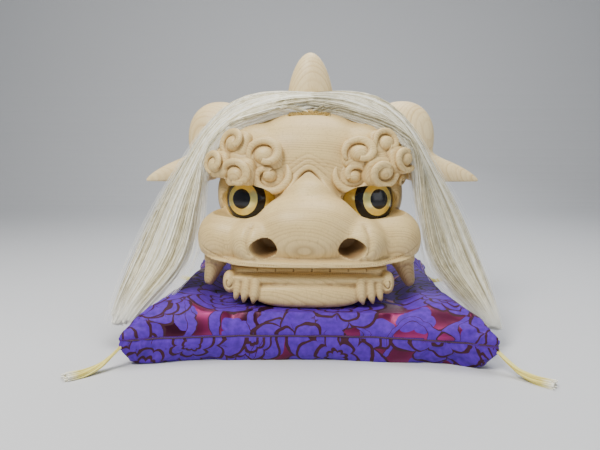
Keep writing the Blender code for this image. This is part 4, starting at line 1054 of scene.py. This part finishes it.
# Gathers run in from the four corners and small puckers along the seam.
points = vertex_array(cushion_mesh)
normals = vertex_array(cushion_mesh, "normal")
x, y, z = points.T
corner_away = np.hypot(CUSHION_HALF - np.abs(x), CUSHION_HALF - np.abs(y))
corner_turn = np.arctan2(CUSHION_HALF - np.abs(y), CUSHION_HALF - np.abs(x) + 1e-6)
gather = np.sin(corner_turn * 15.0 + np.sign(x) * 0.9 + np.sign(y) * 0.6)
gather = gather * np.exp(-((corner_away - 0.026) / 0.020) ** 2) * 0.0016
along = np.where(np.abs(x) > np.abs(y), y, x)
near_rim = np.exp(-((CUSHION_HALF - np.maximum(np.abs(x), np.abs(y))) / 0.016) ** 2)
pucker = (np.sin(along * 210 + 1.3) + 0.7 * np.sin(along * 131 + 0.4)) * near_rim
pucker = pucker * np.exp(-((z - SEAM_Z) / 0.013) ** 2) * 0.0006
seam = -0.0022 * np.exp(-((z - SEAM_Z) / 0.0022) ** 2) * (near_rim > 0.25)
soft_fold = (np.sin(x * 31 + y * 17 + 0.5) * np.sin(y * 27 - x * 11)) * 0.0009
points += normals * (gather + pucker + seam + soft_fold)[:, None]
points = pressed(points)
cushion_mesh.vertices.foreach_set("co", points.ravel())
cushion_mesh.update()

# The panels' own coordinates: the plan, unrolled over the edge by the drop from the crown.
x, y, z = points.T
top = z >= SEAM_Z
drop = np.where(top, CUSHION_HEIGHT - z, z)
steep = 10
weight = np.abs(x) ** steep / (np.abs(x) ** steep + np.abs(y) ** steep + 1e-30)
near = np.clip((np.maximum(np.abs(x), np.abs(y)) - 0.150) / 0.045, 0.0, 1.0)
u = x + np.sign(x) * drop * weight * near + np.where(top, 0.0, 0.37)
v = y + np.sign(y) * drop * (1 - weight) * near + np.where(top, 0.0, 0.21)
panel = cushion_mesh.attributes.new("panel", "FLOAT_VECTOR", "POINT")
panel.data.foreach_set("vector", np.column_stack([u, v, np.zeros(len(u))]).astype(np.float32).ravel())
cushion_mesh.polygons.foreach_set("use_smooth", [True] * len(cushion_mesh.polygons))


def blossom_field():
    """Shader group: a repeat of layered blossoms, leaves and tendrils, as masks of motif and outline."""
    group = bpy.data.node_groups.new("blossom_field", "ShaderNodeTree")
    face = group.interface
    face.new_socket("Panel", in_out="INPUT", socket_type="NodeSocketVector")
    for name in ("Repeat", "Petals", "Reach", "Line"):
        face.new_socket(name, in_out="INPUT", socket_type="NodeSocketFloat")
    for name in ("Motif", "Outline"):
        face.new_socket(name, in_out="OUTPUT", socket_type="NodeSocketFloat")
    start = group.nodes.new("NodeGroupInput").outputs
    end = group.nodes.new("NodeGroupOutput").inputs
    cells = add_node(group, "ShaderNodeTexVoronoi", {"Vector": start["Panel"], "Scale": start["Repeat"],
                                                     "Randomness": 0.62}, voronoi_dimensions="2D").outputs
    away = vector_step(group, "SUBTRACT", start["Panel"], cells["Position"])[0]
    parts = add_node(group, "ShaderNodeSeparateXYZ", {0: away}).outputs
    chance = add_node(group, "ShaderNodeTexWhiteNoise", {"Vector": cells["Color"]},
                      noise_dimensions="3D").outputs["Value"]
    radius = mult(group, vector_step(group, "LENGTH", away)["Value"], start["Repeat"])
    turn = plus(group, calc(group, "ARCTAN2", parts[1], parts[0]), mult(group, chance, 6.283))
    motif = outline = None
    for share, extra, offset in ((1.0, 0.0, 0.0), (0.70, 0.0, 1.1), (0.42, 0.0, 0.4), (0.20, 2.0, 0.0)):
        lobes = mult(group, plus(group, start["Petals"], extra), 0.5)
        wave = calc(group, "ABSOLUTE", calc(group, "SINE", plus(group, mult(group, turn, lobes), offset)))
        wave = calc(group, "POWER", wave, 0.55)
        reach = mult(group, mult(group, start["Reach"], share),
                     plus(group, 0.70, mult(group, wave, 0.30)))
        gap = less(group, radius, reach)
        line = calc(group, "LESS_THAN", calc(group, "ABSOLUTE", gap), start["Line"])
        if motif is None:
            motif, outline = calc(group, "LESS_THAN", gap, 0.0), line
        else:
            outline = calc(group, "MAXIMUM", outline, line)
            vein = mult(group, calc(group, "LESS_THAN", wave, 0.13),
                        calc(group, "LESS_THAN", radius, mult(group, reach, 1.38)))
            vein = mult(group, vein, calc(group, "GREATER_THAN", radius, reach))
            outline = calc(group, "MAXIMUM", outline, vein)
    group.links.new(motif, end["Motif"])
    group.links.new(outline, end["Outline"])
    return group


damask, tree, shader = new_material("damask_satin", 0.5)
panel = attribute(tree, "panel", "Vector")
sway = add_node(tree, "ShaderNodeTexNoise", {"Vector": panel, "Scale": 34.0, "Detail": 2.0})
sway = vector_step(tree, "SUBTRACT", sway.outputs["Color"], (0.5, 0.5, 0.5))[0]
sway = vector_step(tree, "MULTIPLY", sway, (0.016, 0.016, 0.016))[0]
sway = vector_step(tree, "ADD", panel, sway)[0]
FIELD = blossom_field()
fields = []
BLOSSOMS = [
    # repeat, petals, reach, line, shift
    (8.2, 7.0, 0.50, 0.016, (0.013, 0.045, 0)),
    (12.5, 5.0, 0.44, 0.020, (0.20, 0.11, 0)),
    (19.0, 3.0, 0.40, 0.030, (0.05, 0.37, 0)),
]
for repeat, petals, reach, line, shift in BLOSSOMS:
    node = add_node(tree, "ShaderNodeGroup", node_tree=FIELD)
    moved = vector_step(tree, "ADD", sway, shift)[0]
    for key, value in (("Repeat", repeat), ("Petals", petals), ("Reach", reach), ("Line", line)):
        node.inputs[key].default_value = value
    tree.links.new(moved, node.inputs["Panel"])
    fields.append(node.outputs)
tendril = noise(tree, sway, 15.0, 0.0)
tendril = calc(tree, "ABSOLUTE", less(tree, tendril, 0.47))
vine = calc(tree, "LESS_THAN", tendril, 0.028)
outer = less(tree, 1.0, fields[0]["Motif"])
vine_line = calc(tree, "LESS_THAN", calc(tree, "ABSOLUTE", less(tree, tendril, 0.030)), 0.0035)
vine_line = mult(tree, vine_line, outer)
second = mult(tree, fields[1]["Motif"], outer)
motif = calc(tree, "MAXIMUM", calc(tree, "MAXIMUM", fields[0]["Motif"], second),
             calc(tree, "MAXIMUM", vine, fields[2]["Motif"]))
outline = calc(tree, "MAXIMUM", fields[0]["Outline"], mult(tree, outer, fields[1]["Outline"]))
outline = calc(tree, "MAXIMUM", outline, vine_line)
# Satin ground: dark maroon with broad rose clouds painted in at random, a painted sheen standing in for the
# satin's highlights.
cloud = noise(tree, panel, 11.0, 1.0)
ground_with_painted_sheen = ramp(tree, cloud, [(0.38, (0.035, 0.003, 0.016)), (0.52, (0.120, 0.008, 0.048)),
                            (0.66, (0.32, 0.025, 0.15))])
thread, weft = [add_node(tree, "ShaderNodeTexWave", {"Vector": panel, "Scale": scale, "Distortion": bent},
                         bands_direction=direction).outputs["Fac"]
                for scale, bent, direction in ((330.0, 0.6, "DIAGONAL"), (420.0, 0.4, "X"))]
slub = noise(tree, panel, 160.0, 3.0)
violet = ramp(tree, slub, [(0.30, (0.055, 0.008, 0.27)), (0.70, (0.110, 0.017, 0.48))])
violet = mixed(tree, mult(tree, weft, 0.25), violet, (0.034, 0.005, 0.24))
cloth_colour = mixed(tree, motif, ground_with_painted_sheen, violet)
cloth_colour = mixed(tree, outline, cloth_colour, (0.040, 0.006, 0.016))
tree.links.new(cloth_colour, shader.inputs["Base Color"])
plain = less(tree, 1.0, calc(tree, "MAXIMUM", motif, outline))
tree.links.new(mult(tree, plain, 0.55), shader.inputs["Metallic"])
rough = less(tree, plus(tree, 0.62, mult(tree, slub, 0.1)), mult(tree, plain, 0.30))
tree.links.new(rough, shader.inputs["Roughness"])
relief = plus(tree, mult(tree, motif, 0.8), mult(tree, mixed(tree, motif, thread, weft), 0.30))
relief = less(tree, relief, mult(tree, outline, 0.5))
bump = add_node(tree, "ShaderNodeBump", {"Height": relief, "Strength": 0.28, "Distance": 0.0005})
tree.links.new(bump.outputs[0], shader.inputs["Normal"])
shader.inputs["Specular IOR Level"].default_value = 0.30
shader.inputs["Sheen Weight"].default_value = 0.06
shader.inputs["Sheen Roughness"].default_value = 0.4
shader.inputs["Sheen Tint"].default_value = (0.70, 0.50, 1.0, 1.0)

cushion = placed("damask_cushion", cushion_mesh, damask, "base", ["cushion"])


def thread_tree():
    """Geometry nodes: every edge path becomes a thread, as thick as its own thickness attribute."""
    tree = bpy.data.node_groups.new("threads", "GeometryNodeTree")
    face = tree.interface
    face.new_socket("Geometry", in_out="INPUT", socket_type="NodeSocketGeometry")
    face.new_socket("Sides", in_out="INPUT", socket_type="NodeSocketInt")
    face.new_socket("Thread Finish", in_out="INPUT", socket_type="NodeSocketMaterial")
    face.new_socket("Geometry", in_out="OUTPUT", socket_type="NodeSocketGeometry")
    start = tree.nodes.new("NodeGroupInput").outputs
    end = tree.nodes.new("NodeGroupOutput").inputs
    path = add_node(tree, "GeometryNodeMeshToCurve", {"Mesh": start["Geometry"]})
    thick = add_node(tree, "GeometryNodeInputNamedAttribute", {"Name": "thickness"}, data_type="FLOAT")
    ring = add_node(tree, "GeometryNodeCurvePrimitiveCircle", {"Resolution": start["Sides"], "Radius": 1.0})
    tube = add_node(tree, "GeometryNodeCurveToMesh", {
        "Curve": path.outputs[0], "Profile Curve": ring.outputs["Curve"], "Scale": thick.outputs[0],
        "Fill Caps": True})
    smooth = add_node(tree, "GeometryNodeSetShadeSmooth", {"Geometry": tube.outputs[0]})
    whole = add_node(tree, "GeometryNodeRealizeInstances", {"Geometry": smooth.outputs[0]})
    finish = add_node(tree, "GeometryNodeSetMaterial", {"Geometry": whole.outputs[0],
                                                        "Material": start["Thread Finish"]})
    tree.links.new(finish.outputs[0], end["Geometry"])
    return tree


THREADS = thread_tree()


def grown_mesh(obj, group, values):
    """The plain mesh that a node group makes of an object, with the group's inputs set by name."""
    modifier = obj.modifiers.new(group.name, "NODES")
    modifier.node_group = group
    for item in group.interface.items_tree:
        if item.in_out == "INPUT" and item.name in values:
            modifier[item.identifier] = values[item.name]
    return plain_mesh(obj)


def spun(paths, radii, shades, sides, finish):
    """One mesh of threads; each path has its points, a radius at each point, and one shade."""
    points = np.concatenate(paths)
    counts = [len(path) for path in paths]
    firsts = np.cumsum([0] + counts[:-1])
    edges = np.concatenate([np.column_stack([np.arange(n - 1), np.arange(1, n)]) + first
                            for n, first in zip(counts, firsts)])
    mesh = bpy.data.meshes.new("threads")
    mesh.from_pydata([], [], [])
    mesh.vertices.add(len(points))
    mesh.vertices.foreach_set("co", points.astype(np.float32).ravel())
    mesh.edges.add(len(edges))
    mesh.edges.foreach_set("vertices", edges.astype(np.int32).ravel())
    run = np.concatenate([np.linspace(0.0, 1.0, n) for n in counts])
    for name, values in (("thickness", np.concatenate(radii)), ("shade", np.repeat(shades, counts)),
                         ("run", run)):
        mesh.attributes.new(name, "FLOAT", "POINT").data.foreach_set("value", values.astype(np.float32))
    return grown_mesh(new_object("threads", mesh), THREADS, {"Sides": sides, "Thread Finish": finish})


def shade_material(name, roughness, stops, tips, sheen):
    """Thread or hair: each strand takes its own tone, paler or darker towards its cut end."""
    material, tree, shader = new_material(name, roughness)
    shade = attribute(tree, "shade")
    run = attribute(tree, "run")
    place = object_place(tree)
    fleck = noise(tree, place, 120.0, 2.0)
    tone = plus(tree, shade, mult(tree, less(tree, fleck, 0.5), 0.5))
    colour = ramp(tree, tone, stops)
    colour = mixed(tree, ramp(tree, run, [(tips[0], 0.0), (1.0, 1.0)]), colour, tips[1])
    tree.links.new(colour, shader.inputs["Base Color"])
    tree.links.new(plus(tree, roughness - 0.08, mult(tree, fleck, 0.16)), shader.inputs["Roughness"])
    shader.inputs["Sheen Weight"].default_value = sheen
    return material


# The seam cord: a dark twisted cord laid in the groove between the panels, with its stitches.
seam_finish = shade_material("seam_cord", 0.6, [(0.0, (0.030, 0.006, 0.020)), (1.0, (0.085, 0.015, 0.06))],
                             (0.99, (0.05, 0.01, 0.04)), 0.2)
surface = surface_of(cushion_mesh)
seam_points = []
for k in range(320):
    angle = 2 * math.pi * k / 320
    outwards = Vector((math.cos(angle), math.sin(angle), 0))
    hit = surface.ray_cast(Vector((0, 0, SEAM_Z)) + outwards * 0.4, -outwards)[0]
    seam_points.append(hit + outwards * 0.0002)
seam_points = np.array([tuple(p) for p in seam_points + seam_points[:1]])
cord_paths, cord_radii, cord_shades = [seam_points], [np.full(len(seam_points), 0.00085)], [0.3]
dense = smooth_path(seam_points, 3)
for k in range(0, len(dense) - 3, 3):
    low, high = dense[k], dense[k + 2]
    middle = (low + high) / 2
    outwards = np.array([middle[0], middle[1], 0.0]) / np.hypot(middle[0], middle[1])
    cord_paths.append(np.array([low + (0, 0, -0.0009), middle + outwards * 0.0006, high + (0, 0, 0.0009)]))
    cord_radii.append(np.full(3, 0.00022))
    cord_shades.append(0.5)
cord_mesh = spun(cord_paths, cord_radii, cord_shades, 6, seam_finish)
placed("cushion_seam", cord_mesh, seam_finish, "base", [])

# Corner tassels.
# A silk tassel is sewn into each corner of the cushion: its looped head is whipped round, and its
# thick floss threads fall to the floor and lie there, cut square and paler at the ends.
TASSEL_ROWS = [
    # run, drop, radius, as shares of the tassel's length, its fall and its widest radius
    (0.000, 0.00, 0.17), (0.06, 0.01, 0.20), (0.14, 0.10, 0.20), (0.22, 0.26, 0.22), (0.36, 0.52, 0.34),
    (0.52, 0.78, 0.56), (0.76, 0.97, 0.84), (1.00, 1.00, 1.00),
]
TASSEL_LENGTH = 0.0725
TASSEL_RADIUS = 0.0085
TASSEL_TURN = 40
TASSEL_INSET = 0.004
TASSEL_THREADS = 34
GOLDEN_TURN = 2.39996
TASSEL_CORNERS = [(-1, -1, "front_left"), (1, -1, "front_right"), (-1, 1, "rear_left"), (1, 1, "rear_right")]
floss = shade_material("tassel_floss", 0.5, [(0.0, (0.62, 0.49, 0.07)), (0.5, (0.83, 0.71, 0.15)),
                                             (1.0, (0.91, 0.84, 0.26))], (0.90, (0.92, 0.90, 0.80)), 0.4)
dice = np.random.default_rng(7)
for x_side, y_side, name in TASSEL_CORNERS:
    turn = math.radians(TASSEL_TURN)
    corner_x, corner_y = x_side * (CUSHION_HALF - TASSEL_INSET), y_side * (CUSHION_HALF - TASSEL_INSET)
    heading = np.array([x_side * math.cos(turn), y_side * math.sin(turn), 0.0])
    side = np.array([-heading[1], heading[0], 0.0])
    rows = smooth_path(TASSEL_ROWS, 4)
    bend = 0.004 * dice.uniform(-1, 1)
    paths, radii, shades = [], [], []
    for k in range(TASSEL_THREADS):
        ring_share = math.sqrt((k + 0.5) / TASSEL_THREADS)
        angle = k * GOLDEN_TURN
        spread = dice.uniform(0.86, 1.08)
        end = dice.uniform(0.93, 1.0)
        points, thick = [], []
        for run, drop, radius in rows:
            reach = radius * TASSEL_RADIUS * ring_share * (1 + (spread - 1) * run)
            twist = angle + 3.2 * (1 - run) ** 2
            low = 0.55 * radius * TASSEL_RADIUS + 0.0008
            middle = np.array([corner_x, corner_y, SEAM_Z * (1 - drop) + low * drop])
            middle = middle + heading * (run * end * (TASSEL_LENGTH + TASSEL_INSET))
            middle = middle + side * bend * math.sin(math.pi * run)
            point = middle + reach * (math.cos(twist) * side + 0.55 * math.sin(twist) * np.array([0, 0, 1.0]))
            point[2] = max(point[2], 0.0007)
            points.append(point)
            thick.append(0.00062 + 0.00022 * run)
        paths.append(np.array(points))
        radii.append(np.array(thick))
        shades.append(dice.uniform(0.1, 1.0))
    for run_at in np.linspace(0.12, 0.25, 9):
        row = rows[int(round(run_at * (len(rows) - 1) * 1.6))]
        middle = np.array([corner_x, corner_y, SEAM_Z * (1 - row[1])])
        middle = middle + heading * row[0] * (TASSEL_LENGTH + TASSEL_INSET)
        reach = row[2] * TASSEL_RADIUS + 0.0010
        upwards = np.array([0.35 * heading[0], 0.35 * heading[1], 1.0])
        loop = [middle + reach * (math.cos(a) * side + 0.7 * math.sin(a) * upwards)
                for a in np.linspace(0, 2 * math.pi, 17)]
        paths.append(np.array(loop))
        radii.append(np.full(17, 0.0005))
        shades.append(0.75)
    mesh = spun(paths, radii, shades, 6, floss)
    placed(f"floss_tassel_{name}", mesh, floss, "base", [f"tassel_{name}"])

# Bound hair roots.
# The mane is planted in a slot above the brow: hanks of horsehair are folded into it, bound with
# straw-yellow thread and cut short, so a bristling strip of stubble shows along the parting.


def stubble_tree():
    """Geometry nodes: cut stems standing close together on a strip, each a little differently turned."""
    tree = bpy.data.node_groups.new("stubble", "GeometryNodeTree")
    face = tree.interface
    face.new_socket("Geometry", in_out="INPUT", socket_type="NodeSocketGeometry")
    for name in ("Stems", "Stem Radius", "Stem Height"):
        face.new_socket(name, in_out="INPUT", socket_type="NodeSocketFloat")
    face.new_socket("Stem Finish", in_out="INPUT", socket_type="NodeSocketMaterial")
    face.new_socket("Geometry", in_out="OUTPUT", socket_type="NodeSocketGeometry")
    start = tree.nodes.new("NodeGroupInput").outputs
    end = tree.nodes.new("NodeGroupOutput").inputs
    spots = add_node(tree, "GeometryNodeDistributePointsOnFaces", {
        "Mesh": start["Geometry"], "Density": start["Stems"], "Seed": 11}).outputs
    stem = add_node(tree, "GeometryNodeMeshCone", {"Vertices": 6, "Radius Top": 0.7, "Radius Bottom": 1.0,
                                                   "Depth": 1.0})
    stem = add_node(tree, "GeometryNodeTransform", {"Geometry": stem.outputs["Mesh"],
                                                    "Translation": (0, 0, -0.3)})
    lean = add_node(tree, "FunctionNodeRandomValue", {0: (-0.35, -0.35, 0.0), 1: (0.35, 0.35, 6.28),
                                                      "Seed": 3}, data_type="FLOAT_VECTOR")
    turned = add_node(tree, "FunctionNodeRotateRotation", {
        "Rotation": spots["Rotation"], "Rotate By": lean.outputs[0]}, rotation_space="LOCAL")
    tall = add_node(tree, "FunctionNodeRandomValue", {2: 0.55, 3: 1.0, "Seed": 5}, data_type="FLOAT")
    high = mult(tree, tall.outputs[1], start["Stem Height"])
    size = add_node(tree, "ShaderNodeCombineXYZ", {0: start["Stem Radius"], 1: start["Stem Radius"], 2: high})
    grown = add_node(tree, "GeometryNodeInstanceOnPoints", {
        "Points": spots["Points"], "Instance": stem.outputs[0], "Rotation": turned.outputs[0],
        "Scale": size.outputs[0]})
    whole = add_node(tree, "GeometryNodeRealizeInstances", {"Geometry": grown.outputs[0]})
    finish = add_node(tree, "GeometryNodeSetMaterial", {"Geometry": whole.outputs[0],
                                                        "Material": start["Stem Finish"]})
    tree.links.new(finish.outputs[0], end["Geometry"])
    return tree


roots, tree, shader = new_material("bound_roots", 0.6)
place = object_place(tree)
fleck = noise(tree, place, 520.0, 2.0)
straw = ramp(tree, fleck, [(0.32, (0.10, 0.055, 0.012)), (0.46, (0.50, 0.33, 0.08)),
                           (0.66, (0.80, 0.64, 0.26))])
tree.links.new(straw, shader.inputs["Base Color"])
bed = bmesh.new()
corners = [(-SLOT_HALF_WIDTH, -SLOT_HALF_LENGTH), (SLOT_HALF_WIDTH, -SLOT_HALF_LENGTH),
           (SLOT_HALF_WIDTH, SLOT_HALF_LENGTH), (-SLOT_HALF_WIDTH, SLOT_HALF_LENGTH)]
bed.faces.new([bed.verts.new(slot_turn @ Vector((x * 0.96, y * 0.92, -0.0015))) for x, y in corners])
stubble = new_object("stubble", finished(bed, "root_bed"))
stubble_mesh = grown_mesh(stubble, stubble_tree(), {"Stems": 1300000.0, "Stem Radius": 0.00042,
                                                    "Stem Height": 0.0046, "Stem Finish": roots})
plug = box((-SLOT_HALF_WIDTH + 0.0004, -SLOT_HALF_LENGTH + 0.0004, 0.0004 - SLOT_DEPTH),
           (SLOT_HALF_WIDTH - 0.0004, SLOT_HALF_LENGTH - 0.0004, -0.0008))
plug.transform(slot_turn)
placed("hair_roots", joined([plug, stubble_mesh]), roots, "head", ["hair_binding"])

# Mane.
# Long pale horsehair, planted in the slot and parted in the middle. Each half sweeps over the brow
# and in front of the ear and falls loose onto the cushion, its hairs gathered in wisps.
MANE_REACH = 0.234
MANE_TOP_Z = 0.322
MANE_TIP_Z = 0.034
MANE_ROWS = [
    # inner border: across, along, down; outer border: across, along, down; thickness
    (-0.030, 0.648, 0.074, -0.030, 0.565, 0.018, 0.80),
    (0.171, 0.690, 0.088, 0.192, 0.525, 0.004, 0.95),
    (0.320, 0.722, 0.144, 0.380, 0.550, 0.030, 1.00),
    (0.470, 0.734, 0.226, 0.545, 0.595, 0.135, 1.00),
    (0.560, 0.736, 0.350, 0.675, 0.612, 0.320, 0.95),
    (0.622, 0.760, 0.545, 0.830, 0.628, 0.525, 0.90),
    (0.665, 0.825, 0.750, 0.945, 0.690, 0.760, 0.80),
    (0.800, 0.895, 0.880, 0.990, 0.790, 0.900, 0.65),
    (0.905, 0.945, 0.985, 1.020, 0.880, 1.020, 0.45),
]
MANE_DEPTH = 0.013
MANE_STEPS = 3
MANE_COLUMNS = 17
SIDE_SPREAD = {-1: 1.035, 1: 0.975}
CUSHION_GAP = 0.0030
FALL_GAP = 0.004
# The darker stops colour the hairs painted in shade; the hair's own colour is the pale end.
HAIR_TONES = [(0.0, (0.42, 0.36, 0.19)), (0.24, (0.78, 0.72, 0.50)), (0.55, (0.94, 0.92, 0.78)),
              (1.0, (0.99, 0.985, 0.95))]

hair = shade_material("horsehair", 0.40, HAIR_TONES, (0.90, (0.95, 0.94, 0.87)), 0.30)
carved_tree = surface_of(head_mesh)
ear_tree = surface_of(ear_mesh)
cushion_tree = surface_of(cushion_mesh)


def hair_course(side):
    """The middle sheet of one half of the mane and the way out from the head at each of its points."""
    solid_trees = (carved_tree, ear_tree, brow_trees[side], cushion_tree)
    rows = smooth_path(MANE_ROWS, MANE_STEPS)
    sheet = np.zeros((len(rows), MANE_COLUMNS, 3))
    for k, row in enumerate(rows):
        reach = 1 + (SIDE_SPREAD[side] - 1) * min(1.0, k / 12)
        ends = [np.array([across * MANE_REACH * (reach if c else 1.0), REAR_RIM_Y - along * HEAD_DEPTH,
                          MANE_TOP_Z - down * (MANE_TOP_Z - MANE_TIP_Z)])
                for c, (across, along, down) in enumerate((row[0:3], row[3:6]))]
        for c in range(MANE_COLUMNS):
            t = c / (MANE_COLUMNS - 1)
            sheet[k, c] = ends[0] * (1 - t) + ends[1] * t
    for k, row in enumerate(rows):
        need = 0.5 * row[6] * MANE_DEPTH + 0.0012
        for c in range(MANE_COLUMNS):
            for _ in range(2):
                for tree in solid_trees:
                    point = Vector(sheet[k, c])
                    spot, normal, _, gap = tree.find_nearest(point)
                    inside = (point - spot).dot(normal) < 0
                    if tree is cushion_tree:
                        need_here = CUSHION_GAP
                    else:
                        need_here = need if k < 3 * MANE_STEPS + 8 else FALL_GAP
                    if inside or gap < need_here:
                        sheet[k, c] = tuple(spot + normal * need_here)
    for _ in range(2):
        sheet[1:-1] = sheet[1:-1] * 0.5 + (sheet[:-2] + sheet[2:]) * 0.25
    run = np.gradient(sheet, axis=0)
    wide = np.gradient(sheet, axis=1)
    out = np.cross(wide, run)
    out /= np.linalg.norm(out, axis=2, keepdims=True) + 1e-12
    return sheet, out, rows[:, 6]


def strand(course, start, stop, column, lift, wisp, pull, wave, count):
    """One hair: where it starts and stops along the course, its column, and how its wisp draws it in."""
    sheet, out, depth = course
    s = np.linspace(start, stop, count)
    k = np.clip(s * (len(sheet) - 1), 0, len(sheet) - 1.0001)
    gather = np.clip((s - 0.15) / 0.85, 0, 1)
    c = column + (wisp - column) * pull * gather ** 1.2 + wave[0] * gather * np.sin(wave[1] * s + wave[2])
    c = np.clip(c, -0.45, 1.30) * (MANE_COLUMNS - 1)
    i, j = k.astype(int), np.clip(c, 0, MANE_COLUMNS - 2).astype(int)
    fi, fj = (k - i)[:, None], (c - j)[:, None]

    def at(grid):
        return ((grid[i, j] * (1 - fi) + grid[i + 1, j] * fi) * (1 - fj)
                + (grid[i, j + 1] * (1 - fi) + grid[i + 1, j + 1] * fi) * fj)

    thick = np.interp(k, np.arange(len(depth)), depth)[:, None]
    return at(sheet) + at(out) * thick * MANE_DEPTH * (lift + wave[3] * gather[:, None])


# The under layer is painted darkest and the body darker than the top: painted shade beneath the outer hairs.
LAYERS = [
    # name, hairs, points, radius, lift low, lift high, pull into wisps, shade low, shade high
    ("under", 1300, 18, 0.00050, -0.50, 0.00, 0.40, 0.00, 0.55),
    ("body", 2200, 14, 0.00034, -0.20, 0.42, 0.65, 0.30, 0.95),
    ("top", 2300, 14, 0.00024, 0.20, 0.66, 0.60, 0.45, 1.00),
]
WISPS = 26
STRAYS = 230
STRAY_POINTS = 20
for side, name in ((1, "right"), (-1, "left")):
    dice = np.random.default_rng(31 if side > 0 else 47)
    course = hair_course(side)
    wisps = np.sort(dice.uniform(0.0, 1.0, WISPS))
    wisp_shade = dice.uniform(-0.32, 0.32, WISPS)
    wisp_stop = dice.uniform(0.97, 1.02, WISPS)
    for layer, hairs, points, radius, low, high, pull, dark, light in LAYERS:
        paths, radii, shades = [], [], []
        for _ in range(hairs):
            column = -0.06 + 1.12 * dice.beta(1.35, 1.20)
            nearest = int(np.abs(wisps - column - 0.02 * dice.normal()).argmin())
            start = dice.uniform(0.0, 0.10) if column > 0.35 else dice.uniform(0.0, 0.20)
            stop = min(1.0, wisp_stop[nearest] - abs(dice.normal()) * 0.025)
            wave = (0.022 * dice.normal(), dice.uniform(3, 9), dice.uniform(0, 6.3), 0.14 * dice.normal())
            path = strand(course, start, stop, column, dice.uniform(low, high), wisps[nearest],
                          pull * dice.uniform(0.6, 1.1), wave, points)
            if start > 0.02:
                path[0] = (path[0][0] * 0.9, SLOT_Y + 0.004, crown_z + 0.001)
            path[:, 0] *= side
            paths.append(path)
            taper = 1.0 - 0.75 * np.clip((np.linspace(0, 1, points) - 0.8) / 0.2, 0, 1)
            radii.append(radius * dice.uniform(0.7, 1.25) * taper)
            # Painted shade: hairs by the inner border are painted darker, where the mane hangs in shadow
            # beside the face.
            inner = 0.25 * (column < 0.22)
            shades.append(np.clip(dice.uniform(dark, light) + wisp_shade[nearest] - inner, 0, 1))
        mesh = spun(paths, radii, np.array(shades), 3, hair)
        stands_for = [f"mane_{name}"] if layer == "under" else []
        piece = placed(f"mane_{layer}_{name}", mesh, hair, None, stands_for)
        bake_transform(piece)
    paths, radii, shades = [], [], []
    for _ in range(STRAYS):
        column = dice.choice([dice.uniform(-0.40, 0.15), dice.uniform(0.0, 1.0), dice.uniform(0.9, 1.25)])
        start, stop = dice.uniform(0, 0.3), dice.uniform(0.75, 1.02)
        wave = (0.05 * dice.normal(), dice.uniform(3, 7), dice.uniform(0, 6.3), 0.5 * dice.normal())
        path = strand(course, start, stop, 0.5 + 0.5 * (column - 0.5), 0.6, column, 1.0, wave, STRAY_POINTS)
        bow = np.sin(np.linspace(0, math.pi, STRAY_POINTS)) * dice.uniform(0.001, 0.009)
        bow = bow * (0.3 + max(0.0, column))
        path += np.column_stack([bow, -0.6 * bow, 0.6 * bow])
        path[:, 0] *= side
        paths.append(path)
        radii.append(np.full(STRAY_POINTS, 0.00015))
        shades.append(dice.uniform(0.6, 1.0))
    mesh = spun(paths, radii, np.array(shades), 3, hair)
    strays = placed(f"mane_strays_{name}", mesh, hair, None, [])
    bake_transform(strays)
